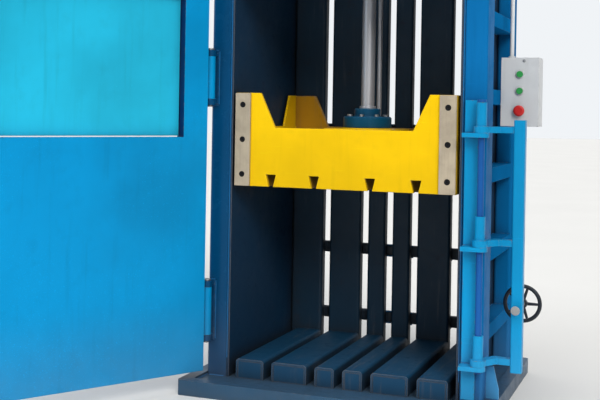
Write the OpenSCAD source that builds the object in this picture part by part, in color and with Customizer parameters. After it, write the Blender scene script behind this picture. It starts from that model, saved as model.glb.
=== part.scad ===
/* [Chamber] */
// Clear width between the side walls
chamber_w = 1110; // [1000:10:1300]
// Clear depth from the post faces to the rear wall
chamber_d = 810; // [760:10:960]
// Height of the loading deck above the floor
deck_z = 150; // [140:1:180]
// Width of each twine slot in the deck and rear wall
slot_w = 40; // [30:1:44]
// Distance of the inner twine slots from the centre line
slot_inner = 137; // [120:1:150]
// Distance of the outer twine slots from the centre line
slot_outer = 355; // [340:1:370]

/* [Base] */
// Height of the base rim
rim_h = 72; // [66:1:78]
// Reach of the base in front of the posts
apron = 200; // [150:5:260]
// Reach of the base beyond each post
base_side = 60; // [40:5:90]

/* [Frame] */
// Width of the front posts
post_w = 105; // [95:1:107]
// Depth of the front posts
post_d = 160; // [130:5:180]
// Thickness of the side wall plates
wall_t = 12; // [8:1:14]
// Height of the underside of the crown
crown_z = 2280; // [2280:10:2400]
// Height of the crown beams
crown_h = 180; // [150:5:220]

/* [Door] */
// Height of the door's lower edge
door_z0 = 96; // [90:1:110]
// Height of the door's upper edge
door_z1 = 1985; // [1960:5:2010]
// Thickness of the door
door_t = 60; // [50:1:64]
// Angle at which the door stands open
door_open = 122; // [95:1:140]
// Height of the lower edge of the loading hatch
hatch_z0 = 1214; // [1180:1:1250]
// Height of the upper edge of the loading hatch
hatch_z1 = 1885; // [1850:5:1900]

/* [Platen] */
// Height of the platen's lower edge above the floor
platen_z = 982; // [940:1:990]
// Height of the platen between its ears
platen_h = 282; // [260:1:284]
// Rise of the corner ears above the platen
ear_h = 165; // [120:5:170]
// Width of the top of each ear
ear_w = 126; // [110:1:140]
// Side gap between platen and chamber
platen_gap = 15; // [12:1:20]
// Width of the wear pads
pad_w = 78; // [60:1:84]
// Diameter of the piston rod
rod_d = 66; // [56:1:72]
// Diameter of the rod flange
flange_d = 240; // [220:2:260]

/* [Lock] */
// Thickness of the lock arms
arm_t = 28; // [22:1:32]
// Height of the sleeve on each arm
sleeve_h = 105; // [90:1:120]
// Diameter of the lock pin
lock_pin_d = 28; // [24:1:32]
// Reach of the arms from the pin to the tie bar
arm_reach = 155; // [150:5:170]

/* [Hidden] */
$fn = 48;

// Clearances
fit = 0.3;
turn_fit = 0.1;
gap = 0.5;
eps = 0.5;

// Plan positions
half_w = chamber_w / 2;
post_x0 = half_w + wall_t;
post_x1 = post_x0 + post_w;
rib_d = 30;
slat_t = 12;
slat_flange = 40;
rim_w = 60;
rear_margin = rim_w + 2;
base_w = 2 * (post_x1 + base_side);
base_d = apron + chamber_d + slat_t + slat_flange + rib_d + rear_margin;
front_y = -base_d / 2 + apron;
rear_y = front_y + chamber_d;
slat_back = rear_y + slat_t + slat_flange;
rib_back = slat_back + rib_d;

// Base and deck
rim_tube_t = 6;
rim_r = 18;
rim_inner_r = 8;
plate_t = 12;
plate_drop = 14;
plate_z = rim_h - plate_drop;
bar_t = 10;
fold_r = 16;
slot_xs = [-slot_outer, -slot_inner, 0, slot_inner, slot_outer];
wall_slot = 36;
bar_x0 = [-half_w + wall_slot, for (x = slot_xs) x + slot_w / 2];
bar_x1 = [for (x = slot_xs) x - slot_w / 2, half_w - wall_slot];
slat_x0 = [-half_w, for (x = slot_xs) x + slot_w / 2];
slat_x1 = [for (x = slot_xs) x - slot_w / 2, half_w];
rear_rib_drop = 310;
rear_rib_zs = [210, 570, 920, 1220, crown_z - rear_rib_drop];
rear_rib_h = 60;
rear_rib_t = 6;
side_rib_z0 = 300;
side_rib_pitch = (crown_z - 160 - side_rib_z0) / 5;
side_rib_zs = [for (k = [0 : 5]) side_rib_z0 + k * side_rib_pitch];
side_rib_h = 70;
side_frame_x = post_x1 - 20;
rear_post_d = 90;
tube_t = 8;
tube_r = 14;

// Front header
header_z = door_z1 + 10;
header_t = 10;
header_lip = 40;

// Crown, beams with a web on the inner side
crown_beam = 90;
crown_web = 14;

// Door, shut along +X and swung about its hinge axis
rail_x0 = half_w + 26;
pad_t = 12;
platen_set = 2;
door_back = front_y + platen_set - pad_t - 4;
door_face = door_back - door_t;
hinge_x = -post_x1 + 12;
hinge_y = door_back - door_t / 2;
door_x0 = hinge_x + 30;
door_x1 = rail_x0 - 9;
skin_t = 8;
stile_t = 10;
hatch_x0 = door_x0 + 130;
hatch_x1 = door_x1 - 75;
hinge_zs = [232, 1367];
hinge_h = 290;
hinge_top_h = 266;
hinge_hs = [hinge_h, hinge_top_h];
lug_t = 30;
lug_r = 28;
knuckle_r = 25;
hinge_pin_r = 14;
hinge_plate_t = 10;
hinge_plate_w = 40;

// Loading hatch
hatch_gap = 5;
hatch_t = 21;
hatch_plate_t = 8;
hatch_out = 1;
hatch_axis_x = hatch_x0 - stile_t / 2;
hatch_axis_y = door_face - 10;
hatch_knuckle_r = 9;
hatch_pin_r = 4;
hatch_knuckle_h = 40;
hatch_hinge_zs = [hatch_z0 + 60, hatch_z1 - 180];
latch_z = (hatch_z0 + hatch_z1) / 2;
latch_x = (hatch_x1 + door_x1) / 2;
latch_r = 8;
latch_h = 70;
latch_t = 10;
latch_w = 30;
latch_reach = 92;
latch_shaft = 37;
knob_out = 46;
leaf_w = 75;
leaf_t = 5;

// Pull grip on the door, on the flat under the hatch
door_flat = 60;
grip_w = 130;
grip_r = 8;
grip_out = 40;
grip_x = hatch_x1 - 120;
grip_z = hatch_z0 - door_flat / 2;

// Platen
platen_t = 20;
platen_y0 = front_y + platen_set;
platen_y1 = rear_y - 20;
platen_x = half_w - platen_gap;
platen_cy = (platen_y0 + platen_y1) / 2;
slope_run = 76;
press_h = 60;
deck_t = 20;
deck_top = platen_z + press_h + deck_t;
inner_z = platen_z + platen_h;
ear_z = inner_z + ear_h;
notch_top = 50;
notch_low = 22;
notch_h = 58;
pad_screw_r = 9;
pad_screw_pitch = (platen_h + ear_h) / 2 - 57;
side_t = 12;
side_ear = 90;
stroke_x = 15;
stroke_y = 146;
stroke_r = 12;
pedestal = 2 * (stroke_y + stroke_r * 2);
pedestal_t = 20;
platen_rib_t = 12;
twine_xs = [-slot_outer, -slot_inner, slot_inner, slot_outer];
press_slot = 44;
press_x0 = [-platen_x + side_t, for (x = twine_xs) x + press_slot / 2];
press_x1 = [for (x = twine_xs) x - press_slot / 2, platen_x - side_t];

// Cylinder and rod, up is the highest place of the platen above where it rests
travel_up = 820;
travel_down = 500;
flange_t = 60;
boss_d = 130;
boss_h = 40;
boss_top = inner_z + flange_t + boss_h;
collar_h = 12;
gland_z = boss_top + collar_h + travel_up + 10;
gland_h = 60;
gland_lip = 18;
gland_d = 190;
barrel_r = 90;
bore_r = 75;
piston_h = 80;
piston_z = gland_z + gland_h + gland_lip + travel_down + 8;
barrel_z0 = gland_z + gland_h;
barrel_z1 = piston_z + piston_h + travel_up + 10;
cap_h = 40;
crown_top = crown_z + crown_h;
mount_t = 30;
mount_d = 340;
bolt_ring_r = 130;
bolt_r = 10;
bolt_n = 8;
bolt_turn = 13;
stroke_top = crown_top + travel_down + 60;

// Lock
rail_w = 62;
rail_t = 20;
rail_x1 = rail_x0 + rail_w - 3;
rail_z0 = 83;
rail_z1 = 1407;
arm_zs = [245, 766, 1264];
pin_x = rail_x1 + 21;
pin_y = front_y - 55;
eye_r = 34;
lug_plate_t = 20;
arm_off = 85;
arm_elbow = 62;
arm_w = 38;
tie_w = 50;
tie_t = 5;
tie_r = 8;
tie_x = pin_x + arm_reach;
tie_y = pin_y + arm_off;
screw_z = (arm_zs[0] + arm_zs[2]) / 2 - 260;
screw_r = 12;
screw_tip = 37;
screw_foot_h = 6;
screw_tail = 130;
wheel_r = 78;
wheel_rim_r = 9;
wheel_hub_r = 22;
wheel_hub_h = 30;

// Power unit on the crown
tank_w = 520;
tank_d = 230;
tank_h = 300;
tank_x = -380;
tank_y = platen_cy + 240;
lid_t = 8;
lid_lip = 12;
motor_r = 90;
motor_h = 260;
motor_x = tank_x + 90;
motor_flange_h = 14;
pump_r = 60;
pump_h = 70;
motor_z = crown_top + tank_h + pump_h + 2 * motor_flange_h;
filler_x = tank_x - tank_w / 2 + 60;
filler_r = 26;
filler_h = 34;
filler_cap_h = 12;
pipe_r = 11;
elbow = 34;
valve_w = 110;
valve_d = 70;
valve_h = 150;
valve_x0 = tank_x + tank_w / 2 - valve_w - lid_lip - 68;
valve_lift = 60;
valve_z0 = crown_top + valve_lift;
port_drop = 60;

// Operator's box on the right side
box_w = 180;
box_d = 130;
box_h = 330;
box_x0 = side_frame_x + gap;
box_back = 290;
box_y0 = front_y + post_d + box_back;
box_z0 = 1290;
box_t = 3;
button_r = 15;
button_x = box_x0 + box_w / 2;
button_zs = [box_z0 + 250, box_z0 + 170, box_z0 + 75];
button_out = 14;
button_stem = 22;
button_rim = 5;
stop_r = 26;
conduit_r = 10;
conduit_x = box_x0 + 40;
conduit_y = box_y0 + box_d / 2;
conduit_z = crown_z + 60;
conduit_end = post_x1 - crown_beam + crown_web;

// Rectangle about the origin with rounded corners
module rounded_square(w, d, r) {
    union() {
        square([w - 2 * r, d], center = true);
        square([w, d - 2 * r], center = true);
        for (sx = [-1, 1], sy = [-1, 1]) translate([sx * (w / 2 - r), sy * (d / 2 - r)]) circle(r = r);
    }
}

// Half of a folded channel's outline about the origin, open toward -Y, with rounded folds at its top
module channel_outline(w, h, t, r) {
    intersection() {
        difference() {
            rounded_square(w, 2 * h, r);
            rounded_square(w - 2 * t, 2 * (h - t), r - t);
        }
        translate([-w, 0]) square([2 * w, 2 * h]);
    }
}

// Rolled tube with rounded corners standing on z0, open at both ends
module upright_tube(x0, x1, y0, y1, z0, z1, t, r) {
    w = x1 - x0;
    d = y1 - y0;
    translate([(x0 + x1) / 2, (y0 + y1) / 2, z0]) linear_extrude(z1 - z0) difference() {
        rounded_square(w, d, r);
        rounded_square(w - 2 * t, d - 2 * t, max(r - t, 1));
    }
}

// Block between two opposite corners
module block(a, b) {
    translate(a) cube(b - a);
}

// Upright rod between two heights
module rod(x, y, z0, z1, r) {
    translate([x, y, z0]) cylinder(h = z1 - z0, r = r);
}

// Places what belongs to the door at its open angle
module at_door() {
    translate([hinge_x, hinge_y, 0])
        rotate([0, 0, -door_open])
            translate([-hinge_x, -hinge_y, 0]) children();
}

// Outline of the platen's end plates, with an ear at each side
module eared_outline() {
    polygon([
        [-platen_x, platen_z],
        [platen_x, platen_z],
        [platen_x, ear_z],
        [platen_x - ear_w, ear_z],
        [platen_x - ear_w - slope_run, inner_z],
        [-platen_x + ear_w + slope_run, inner_z],
        [-platen_x + ear_w, ear_z],
        [-platen_x, ear_z]
    ]);
}

// Dovetail notches for the twine along the lower edge
module notch_outline() {
    for (x = twine_xs) {
        polygon([
            [x - notch_low / 2, platen_z - eps],
            [x + notch_low / 2, platen_z - eps],
            [x + notch_top / 2, platen_z + notch_h],
            [x - notch_top / 2, platen_z + notch_h]
        ]);
    }
}

// Extrudes an X-Z outline backward from y
module upright_plate(y, t) {
    translate([0, y + t, 0]) rotate([90, 0, 0]) linear_extrude(t) children();
}

// Rounded plan outline of the base, set in from its rim
module rim_outline(inset, r) {
    rounded_square(base_w - 2 * inset, base_d - 2 * inset, r);
}

module base_frame() {
    color("#1a3a5c") difference() {
        linear_extrude(rim_h) rim_outline(0, rim_r);
        translate([0, 0, -eps]) linear_extrude(rim_h + 2 * eps) rim_outline(rim_w, rim_inner_r);
        translate([0, 0, rim_tube_t])
            linear_extrude(rim_h - 2 * rim_tube_t)
                difference() {
                    rim_outline(rim_tube_t, rim_r - rim_tube_t);
                    rim_outline(rim_w - rim_tube_t, rim_inner_r + rim_tube_t);
                }
    }
}

// Plate inside the rim, carried by square tubes that stand on the floor
module base_plate() {
    w = base_w / 2 - rim_w;
    d = base_d / 2 - rim_w;
    beam = 40;
    beam_t = 8;
    beam_end = 15;
    top = plate_z - plate_t;
    color("#24486b") union() {
        translate([0, 0, top]) linear_extrude(plate_t) rim_outline(rim_w, rim_inner_r + 4);
        for (k = [-1, -0.5, 0, 0.5, 1]) translate([k * (w - beam), 0, 0]) difference() {
            block([-beam, -d + beam_end, 0], [beam, d - beam_end, top]);
            block([-beam + beam_t, -d, beam_t], [beam - beam_t, d, top - beam_t]);
        }
    }
}

module corner_gusset() {
    t = 12;
    color("#2f7fb5") translate([post_x1, front_y + post_d / 2, 0]) rotate([90, 0, 0])
        translate([0, 0, -t / 2]) linear_extrude(t)
            polygon([
                [0, rim_h],
                [base_side, rim_h],
                [base_side, rim_h + 45],
                [base_side - 25, deck_z + 70],
                [0, deck_z + 70]
            ]);
}

// Folded channel of the loading deck, open below
module floor_bar(i) {
    web = 90;
    y0 = front_y;
    color("#14304d") union() {
        translate([(bar_x0[i] + bar_x1[i]) / 2, rear_y, plate_z]) rotate([90, 0, 0]) linear_extrude(rear_y - y0)
            channel_outline(bar_x1[i] - bar_x0[i], deck_z - plate_z, bar_t, fold_r);
        block([bar_x0[i] + bar_t, y0, plate_z], [bar_x1[i] - bar_t, y0 + bar_t, deck_z - bar_t]);
        block([bar_x0[i] + bar_t, rear_y - web, plate_z],
              [bar_x1[i] - bar_t, rear_y - web + bar_t, deck_z - bar_t]);
    }
}

module left_post() {
    color("#0f3d66")
        upright_tube(-post_x1, -post_x0, front_y, front_y + post_d, plate_z, crown_z, tube_t, tube_r);
}

module right_post() {
    color("#1f5f94")
        upright_tube(post_x0, post_x1, front_y, front_y + post_d, plate_z, crown_z, tube_t, tube_r);
}

module side_wall(side) {
    x0 = side < 0 ? -post_x0 : half_w;
    block([x0, front_y, plate_z], [x0 + wall_t, slat_back, crown_z]);
}

module left_wall() {
    color("#0d2238") side_wall(-1);
}

module right_wall() {
    color("#0d2238") side_wall(1);
}

// Rear post and the ribs that stiffen one side wall, a single weldment
module side_frame(side) {
    mirror([side < 0 ? 1 : 0, 0, 0]) union() {
        upright_tube(post_x0, side_frame_x, rib_back - rear_post_d, rib_back,
                     plate_z, crown_z, tube_t, tube_r);
        for (z = side_rib_zs) difference() {
            block([post_x0, front_y + post_d, z], [side_frame_x, rib_back - rear_post_d, z + side_rib_h]);
            block([post_x0 - eps, front_y + post_d + tube_t, z + tube_t],
                  [side_frame_x - tube_t, rib_back - rear_post_d - tube_t, z + side_rib_h - tube_t]);
        }
    }
}

module left_side_frame() {
    color("#1b5584") side_frame(-1);
}

module right_side_frame() {
    color("#1b5584") side_frame(1);
}

// Folded channel of the rear wall, with its flanges to the back
module rear_slat(i) {
    color("#16304a") translate([(slat_x0[i] + slat_x1[i]) / 2, slat_back, plate_z])
        linear_extrude(crown_z - plate_z) mirror([0, 1])
            channel_outline(slat_x1[i] - slat_x0[i], slat_back - rear_y, slat_t, fold_r);
}

// Channels across the rear wall, open to the back
module rear_ribs() {
    color("#16304a") for (z = rear_rib_zs) difference() {
        block([-post_x0, slat_back, z], [post_x0, rib_back, z + rear_rib_h]);
        block([-post_x0 - eps, slat_back + rear_rib_t, z + rear_rib_t],
              [post_x0 + eps, rib_back + eps, z + rear_rib_h - rear_rib_t]);
    }
}

// Plate above the door, standing off the posts so that the platen passes behind it
module front_header() {
    y1 = door_back;
    y0 = y1 - header_t;
    color("#1f5f94") union() {
        block([-post_x1, y0, header_z], [post_x1, y1, crown_z]);
        for (z = [header_z, (header_z + crown_z) / 2, crown_z - header_t])
            block([-post_x1, y0 - header_lip, z], [post_x1, y0, z + header_t]);
        for (s = [-1, 1], x = [post_x0 + tube_r, post_x1 - tube_r - header_t])
            block([s < 0 ? -x - header_t : x, y1, header_z], [s < 0 ? -x : x + header_t, front_y, crown_z]);
    }
}

module crown_frame() {
    beam = crown_beam;
    web = crown_web;
    w = post_x1;
    y0 = front_y;
    y1 = rib_back;
    pad = mount_d / 2 + 25;
    color("#1f5f94") difference() {
        union() {
            difference() {
                block([-w, y0, crown_z], [w, y1, crown_top]);
                block([-w + beam, y0 + beam, crown_z - eps], [w - beam, y1 - beam, crown_top + eps]);
            }
            for (s = [-1, 1])
                block([-w + beam, platen_cy + s * pad - beam / 2, crown_z],
                      [w - beam, platen_cy + s * pad + beam / 2, crown_top]);
            block([-pad, platen_cy - pad + beam / 2, crown_top - mount_t],
                  [pad, platen_cy + pad - beam / 2, crown_top]);
        }
        for (y = [y0 - eps, y1 - beam + web])
            block([-w + beam, y, crown_z + web], [w - beam, y + beam - web + eps, crown_top - web]);
        for (x = [-w - eps, w - beam + web])
            block([x, y0 + beam, crown_z + web], [x + beam - web + eps, y1 - beam, crown_top - web]);
        rod(0, platen_cy, crown_z - eps, crown_top + eps, barrel_r + fit);
        rod(stroke_x, platen_cy + stroke_y, crown_z - eps, crown_top + eps, stroke_r + 1);
        for (i = [0 : bolt_n - 1])
            translate([0, platen_cy, crown_top - mount_t - eps]) rotate([0, 0, i * 360 / bolt_n + bolt_turn])
                translate([bolt_ring_r, 0, 0]) cylinder(h = mount_t + 2 * eps, r = bolt_r + 0.5);
    }
}

// Barrel with its welded head and mounting flange
module cylinder_barrel() {
    color("#1c5f96") difference() {
        union() {
            rod(0, platen_cy, barrel_z0, barrel_z1 + cap_h, barrel_r);
            rod(0, platen_cy, barrel_z1 - 20, barrel_z1 + cap_h, barrel_r + 10);
            translate([0, platen_cy, barrel_z1 + cap_h])
                cylinder(h = 16, r1 = barrel_r - 10, r2 = barrel_r - 26);
            rod(0, platen_cy, crown_top, crown_top + mount_t, mount_d / 2);
        }
        rod(0, platen_cy, barrel_z0 - eps, barrel_z1, bore_r);
        rod(stroke_x, platen_cy + stroke_y, crown_top - eps, crown_top + mount_t + eps, stroke_r + 1);
        for (i = [0 : bolt_n - 1])
            translate([0, platen_cy, crown_top - eps]) rotate([0, 0, i * 360 / bolt_n + bolt_turn])
                translate([bolt_ring_r, 0, 0]) cylinder(h = mount_t + 2 * eps, r = bolt_r + 0.5);
    }
}

module cylinder_gland() {
    color("#2a2f36") difference() {
        union() {
            rod(0, platen_cy, gland_z, gland_z + gland_h, gland_d / 2);
            rod(0, platen_cy, gland_z + gland_h, gland_z + gland_h + gland_lip, bore_r - fit);
        }
        rod(0, platen_cy, gland_z - eps, gland_z + gland_h + gland_lip + eps, rod_d / 2 + fit);
    }
}

// Hexagon bolts through the cylinder's mounting flange
module flange_bolts() {
    head = 13;
    color("#8b9099") for (i = [0 : bolt_n - 1])
        translate([0, platen_cy, 0]) rotate([0, 0, i * 360 / bolt_n + bolt_turn])
            translate([bolt_ring_r, 0, 0]) {
                translate([0, 0, crown_top + mount_t]) cylinder(h = head, r = bolt_r * 1.7, $fn = 6);
                translate([0, 0, crown_top - mount_t]) cylinder(h = 2 * mount_t, r = bolt_r);
                translate([0, 0, crown_top - mount_t - head]) cylinder(h = head, r = bolt_r * 1.7, $fn = 6);
            }
}

// Welded tank with an overhanging lid, a filler, a level gauge and a drain plug
module oil_tank() {
    t = 5;
    x0 = tank_x - tank_w / 2;
    x1 = tank_x + tank_w / 2;
    y0 = tank_y - tank_d / 2;
    y1 = tank_y + tank_d / 2;
    top = crown_top + tank_h;
    gauge_w = 22;
    gauge_out = 14;
    plug_r = 14;
    plug_out = 16;
    color("#1c5f96") union() {
        difference() {
            block([x0, y0, crown_top], [x1, y1, top]);
            block([x0 + t, y0 + t, crown_top + t], [x1 - t, y1 - t, top - t]);
        }
        block([x0 - lid_lip, y0 - lid_lip, top - lid_t], [x1 + lid_lip, y1 + lid_lip, top]);
        block([x0 + gauge_w, y0 - gauge_out, crown_top + tank_h / 4],
              [x0 + 2 * gauge_w, y0, crown_top + tank_h * 3 / 4]);
        translate([x0 - plug_out, tank_y, crown_top + plug_r * 2]) rotate([0, 90, 0])
            cylinder(h = plug_out, r = plug_r, $fn = 6);
        rod(filler_x, tank_y, top, top + filler_h, filler_r);
        rod(filler_x, tank_y, top + filler_h, top + filler_h + filler_cap_h, filler_r + 8);
    }
}

module pump() {
    z0 = crown_top + tank_h;
    z1 = z0 + motor_flange_h;
    z2 = z1 + pump_h;
    color("#3c4147") union() {
        rod(motor_x, tank_y, z0, z1, motor_r);
        rod(motor_x, tank_y, z1, z2, pump_r);
        rod(motor_x, tank_y, z2, z2 + motor_flange_h, motor_r);
    }
}

// Motor with cooling fins, a fan cowl and a terminal box
module motor() {
    fins = 24;
    fin_t = 4;
    fin_w = 12;
    foot = 20;
    cowl_h = 68;
    cowl_z = motor_z + motor_h - cowl_h + foot;
    term = 70;
    core_r = motor_r - 10;
    color("#5c666f") union() {
        rod(motor_x, tank_y, motor_z, cowl_z, core_r);
        for (i = [0 : fins - 1])
            translate([motor_x, tank_y, motor_z + foot]) rotate([0, 0, i * 360 / fins])
                translate([core_r - 3, -fin_t / 2, 0]) cube([fin_w, fin_t, cowl_z - motor_z - 2 * foot]);
        rod(motor_x, tank_y, cowl_z, cowl_z + cowl_h - 10, motor_r);
        translate([motor_x, tank_y, cowl_z + cowl_h - 10]) cylinder(h = 10, r1 = motor_r, r2 = motor_r - 14);
        block([motor_x - term / 2, tank_y - motor_r - term / 2, motor_z + term],
              [motor_x + term / 2, tank_y - core_r / 2, motor_z + 2 * term]);
    }
}

// Horizontal pipe from a point to the nearest side of the barrel
module radial_pipe(x, y, z) {
    dx = -x;
    dy = platen_cy - y;
    run = sqrt(dx * dx + dy * dy) - barrel_r - fit;
    translate([x, y, z]) union() {
        translate([-elbow / 2, -elbow / 2, -elbow / 2]) cube(elbow);
        rotate([0, 0, atan2(dy, dx)]) rotate([0, 90, 0]) {
            cylinder(h = run, r = pipe_r);
            translate([0, 0, run - 24]) cylinder(h = 20, r = pipe_r + 7, $fn = 6);
        }
    }
}

// Valve block on the tank with the pipes to both ends of the cylinder
module oil_pipes() {
    x0 = valve_x0;
    y1 = tank_y - tank_d / 2;
    y = y1 - valve_d / 2;
    z0 = valve_z0;
    z_low = z0 + valve_h / 2;
    z_high = barrel_z1 - port_drop;
    riser_x = x0 + valve_w / 2;
    stub_x = x0 + valve_w + elbow;
    color("#7d838a") union() {
        block([x0, y1 - valve_d, z0], [x0 + valve_w, y1, z0 + valve_h]);
        rod(riser_x, y, z0 + valve_h, z_high, pipe_r);
        radial_pipe(riser_x, y, z_high);
        translate([x0 + valve_w, y, z_low]) rotate([0, 90, 0])
            cylinder(h = stub_x - x0 - valve_w, r = pipe_r);
        radial_pipe(stub_x, y, z_low);
    }
}

// Box with raised button rims, and a conduit up to the crown
module control_box() {
    color("#c9ccd0") difference() {
        union() {
            block([box_x0, box_y0, box_z0], [box_x0 + box_w, box_y0 + box_d, box_z0 + box_h]);
            for (z = button_zs)
                translate([button_x, box_y0 + eps, z]) rotate([90, 0, 0])
                    cylinder(h = button_rim + eps, r = button_r + 6);
            rod(conduit_x, conduit_y, box_z0 + box_h, box_z0 + box_h + conduit_r, conduit_r + 6);
            rod(conduit_x, conduit_y, box_z0 + box_h, conduit_z, conduit_r);
            block([conduit_x - conduit_r - 4, conduit_y - conduit_r - 4, conduit_z - conduit_r - 4],
                  [conduit_x + conduit_r + 4, conduit_y + conduit_r + 4, conduit_z + conduit_r + 4]);
            translate([conduit_end, conduit_y, conduit_z]) rotate([0, 90, 0])
                cylinder(h = conduit_x - conduit_end, r = conduit_r);
        }
        block([box_x0 + box_t, box_y0 + box_t, box_z0 + box_t],
              [box_x0 + box_w - box_t, box_y0 + box_d - box_t, box_z0 + box_h - box_t]);
        for (z = button_zs)
            translate([button_x, box_y0 + box_t + eps, z]) rotate([90, 0, 0])
                cylinder(h = box_t + button_rim + 2 * eps, r = button_r + fit);
    }
}

// Push button with its stem in the box wall, and a head of radius r
module push_button(z, r, dome) {
    out = button_stem + button_out;
    head_h = 8;
    dome_h = 5;
    translate([button_x, box_y0 + button_stem, z]) rotate([90, 0, 0]) union() {
        cylinder(h = out, r = button_r);
        cylinder(h = 6, r = button_r + 5);
        if (dome) translate([0, 0, out]) {
            cylinder(h = head_h, r = r);
            translate([0, 0, head_h]) cylinder(h = dome_h, r1 = r, r2 = r - 7);
        }
    }
}

module button_up() {
    color("#2f9a4b") push_button(button_zs[0], button_r, false);
}

module button_down() {
    color("#2f9a4b") push_button(button_zs[1], button_r, false);
}

module stop_button() {
    color("#c8201c") push_button(button_zs[2], stop_r, true);
}

// Mounting plate and two lugs of each door hinge, welded to the left post
module post_hinges() {
    color("#15527f") for (i = [0, 1]) {
        z0 = hinge_zs[i];
        h = hinge_hs[i];
        union() {
            block([-post_x1, front_y - hinge_plate_t, z0], [hinge_plate_w - post_x1, front_y, z0 + h]);
            for (z = [z0, z0 + h - lug_t]) difference() {
                union() {
                    rod(hinge_x, hinge_y, z, z + lug_t, lug_r);
                    block([-post_x1, hinge_y, z], [hinge_x + lug_r - 6, front_y - hinge_plate_t, z + lug_t]);
                }
                rod(hinge_x, hinge_y, z - eps, z + lug_t + eps, hinge_pin_r);
            }
        }
    }
}

module hinge_pins() {
    color("#9aa0a6") for (i = [0, 1]) {
        rod(hinge_x, hinge_y, hinge_zs[i] - 8, hinge_zs[i] + hinge_hs[i], hinge_pin_r);
        rod(hinge_x, hinge_y, hinge_zs[i] + hinge_hs[i], hinge_zs[i] + hinge_hs[i] + 8, hinge_pin_r + 6);
    }
}

// Flat bar down the right post, with a forked lug under each lock arm
module lock_rail() {
    color("#1f8cc4") difference() {
        union() {
            block([rail_x0, front_y - rail_t, rail_z0], [rail_x1, front_y, rail_z1]);
            for (z = arm_zs) {
                rod(pin_x, pin_y, z - gap - lug_plate_t, z - gap, eye_r);
                block([rail_x0, pin_y - eye_r, z - gap - lug_plate_t], [pin_x, front_y - rail_t, z - gap]);
            }
        }
        rod(pin_x, pin_y, rail_z0, rail_z1, lock_pin_d / 2);
    }
}

module lock_pin() {
    z0 = arm_zs[0] - gap - lug_plate_t - 12;
    z1 = arm_zs[2] + arm_t + sleeve_h + 2;
    color("#9aa0a6") union() {
        rod(pin_x, pin_y, z0, z1, lock_pin_d / 2);
        rod(pin_x, pin_y, z1, z1 + 10, lock_pin_d / 2 + 7);
    }
}

// Cranked arm with the sleeve that turns on the lock pin
module lock_arm(i) {
    z = arm_zs[i];
    a = atan2(arm_off, arm_elbow);
    run = sqrt(arm_off * arm_off + arm_elbow * arm_elbow);
    color("#2a8fc9") difference() {
        union() {
            rod(pin_x, pin_y, z, z + arm_t, eye_r);
            rod(pin_x, pin_y, z + arm_t, z + arm_t + sleeve_h, lock_pin_d / 2 + 9);
            translate([pin_x, pin_y, z]) rotate([0, 0, a])
                translate([0, -arm_w / 2, 0]) cube([run, arm_w, arm_t]);
            rod(pin_x + arm_elbow, tie_y, z, z + arm_t, arm_w / 2 + 3);
            block([pin_x + arm_elbow, tie_y - arm_w / 2, z],
                  [tie_x - tie_w / 2, tie_y + arm_w / 2, z + arm_t]);
        }
        rod(pin_x, pin_y, z - eps, z + arm_t + sleeve_h + eps, lock_pin_d / 2 + turn_fit);
    }
}

// Square tube that joins the ends of the three arms
module lock_tie() {
    boss = 18;
    color("#2a8fc9") difference() {
        union() {
            upright_tube(tie_x - tie_w / 2, tie_x + tie_w / 2, tie_y - tie_w / 2, tie_y + tie_w / 2,
                         arm_zs[0] - 30, arm_zs[2] + arm_t + 30, tie_t, tie_r);
            translate([tie_x, tie_y + tie_w / 2 + boss, screw_z]) rotate([90, 0, 0])
                cylinder(h = tie_w + boss, r = screw_r + 6);
        }
        translate([tie_x, tie_y + tie_w / 2 + boss + eps, screw_z]) rotate([90, 0, 0])
            cylinder(h = tie_w + boss + 2 * eps, r = screw_r + fit);
    }
}

module clamp_screw() {
    color("#8b9099") translate([tie_x, tie_y + tie_w / 2 + screw_tail, screw_z]) rotate([90, 0, 0]) union() {
        cylinder(h = screw_tail + tie_w + screw_tip, r = screw_r);
        translate([0, 0, screw_tail + tie_w + screw_tip - screw_foot_h])
            cylinder(h = screw_foot_h, r = screw_r + 8);
    }
}

// Cast handwheel with five spokes, keyed to the clamp screw
module handwheel() {
    spokes = 5;
    color("#23282e") translate([tie_x, tie_y + tie_w / 2 + screw_tail, screw_z]) rotate([90, 0, 0])
        difference() {
            union() {
                translate([0, 0, wheel_hub_h / 2])
                    rotate_extrude() translate([wheel_r, 0]) circle(r = wheel_rim_r);
                cylinder(h = wheel_hub_h, r = wheel_hub_r);
                for (i = [0 : spokes - 1]) rotate([0, 0, i * 360 / spokes])
                    translate([0, 0, wheel_hub_h / 2]) rotate([0, 90, 0]) cylinder(h = wheel_r, r = 6);
            }
            translate([0, 0, -eps]) cylinder(h = wheel_hub_h + 2 * eps, r = screw_r);
        }
}

module door_skin() {
    color("#118bd2") at_door() difference() {
        block([door_x0, door_back - skin_t, door_z0], [door_x1, door_back, door_z1]);
        block([hatch_x0, door_back - skin_t - eps, hatch_z0], [hatch_x1, door_back + eps, hatch_z1]);
    }
}

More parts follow.
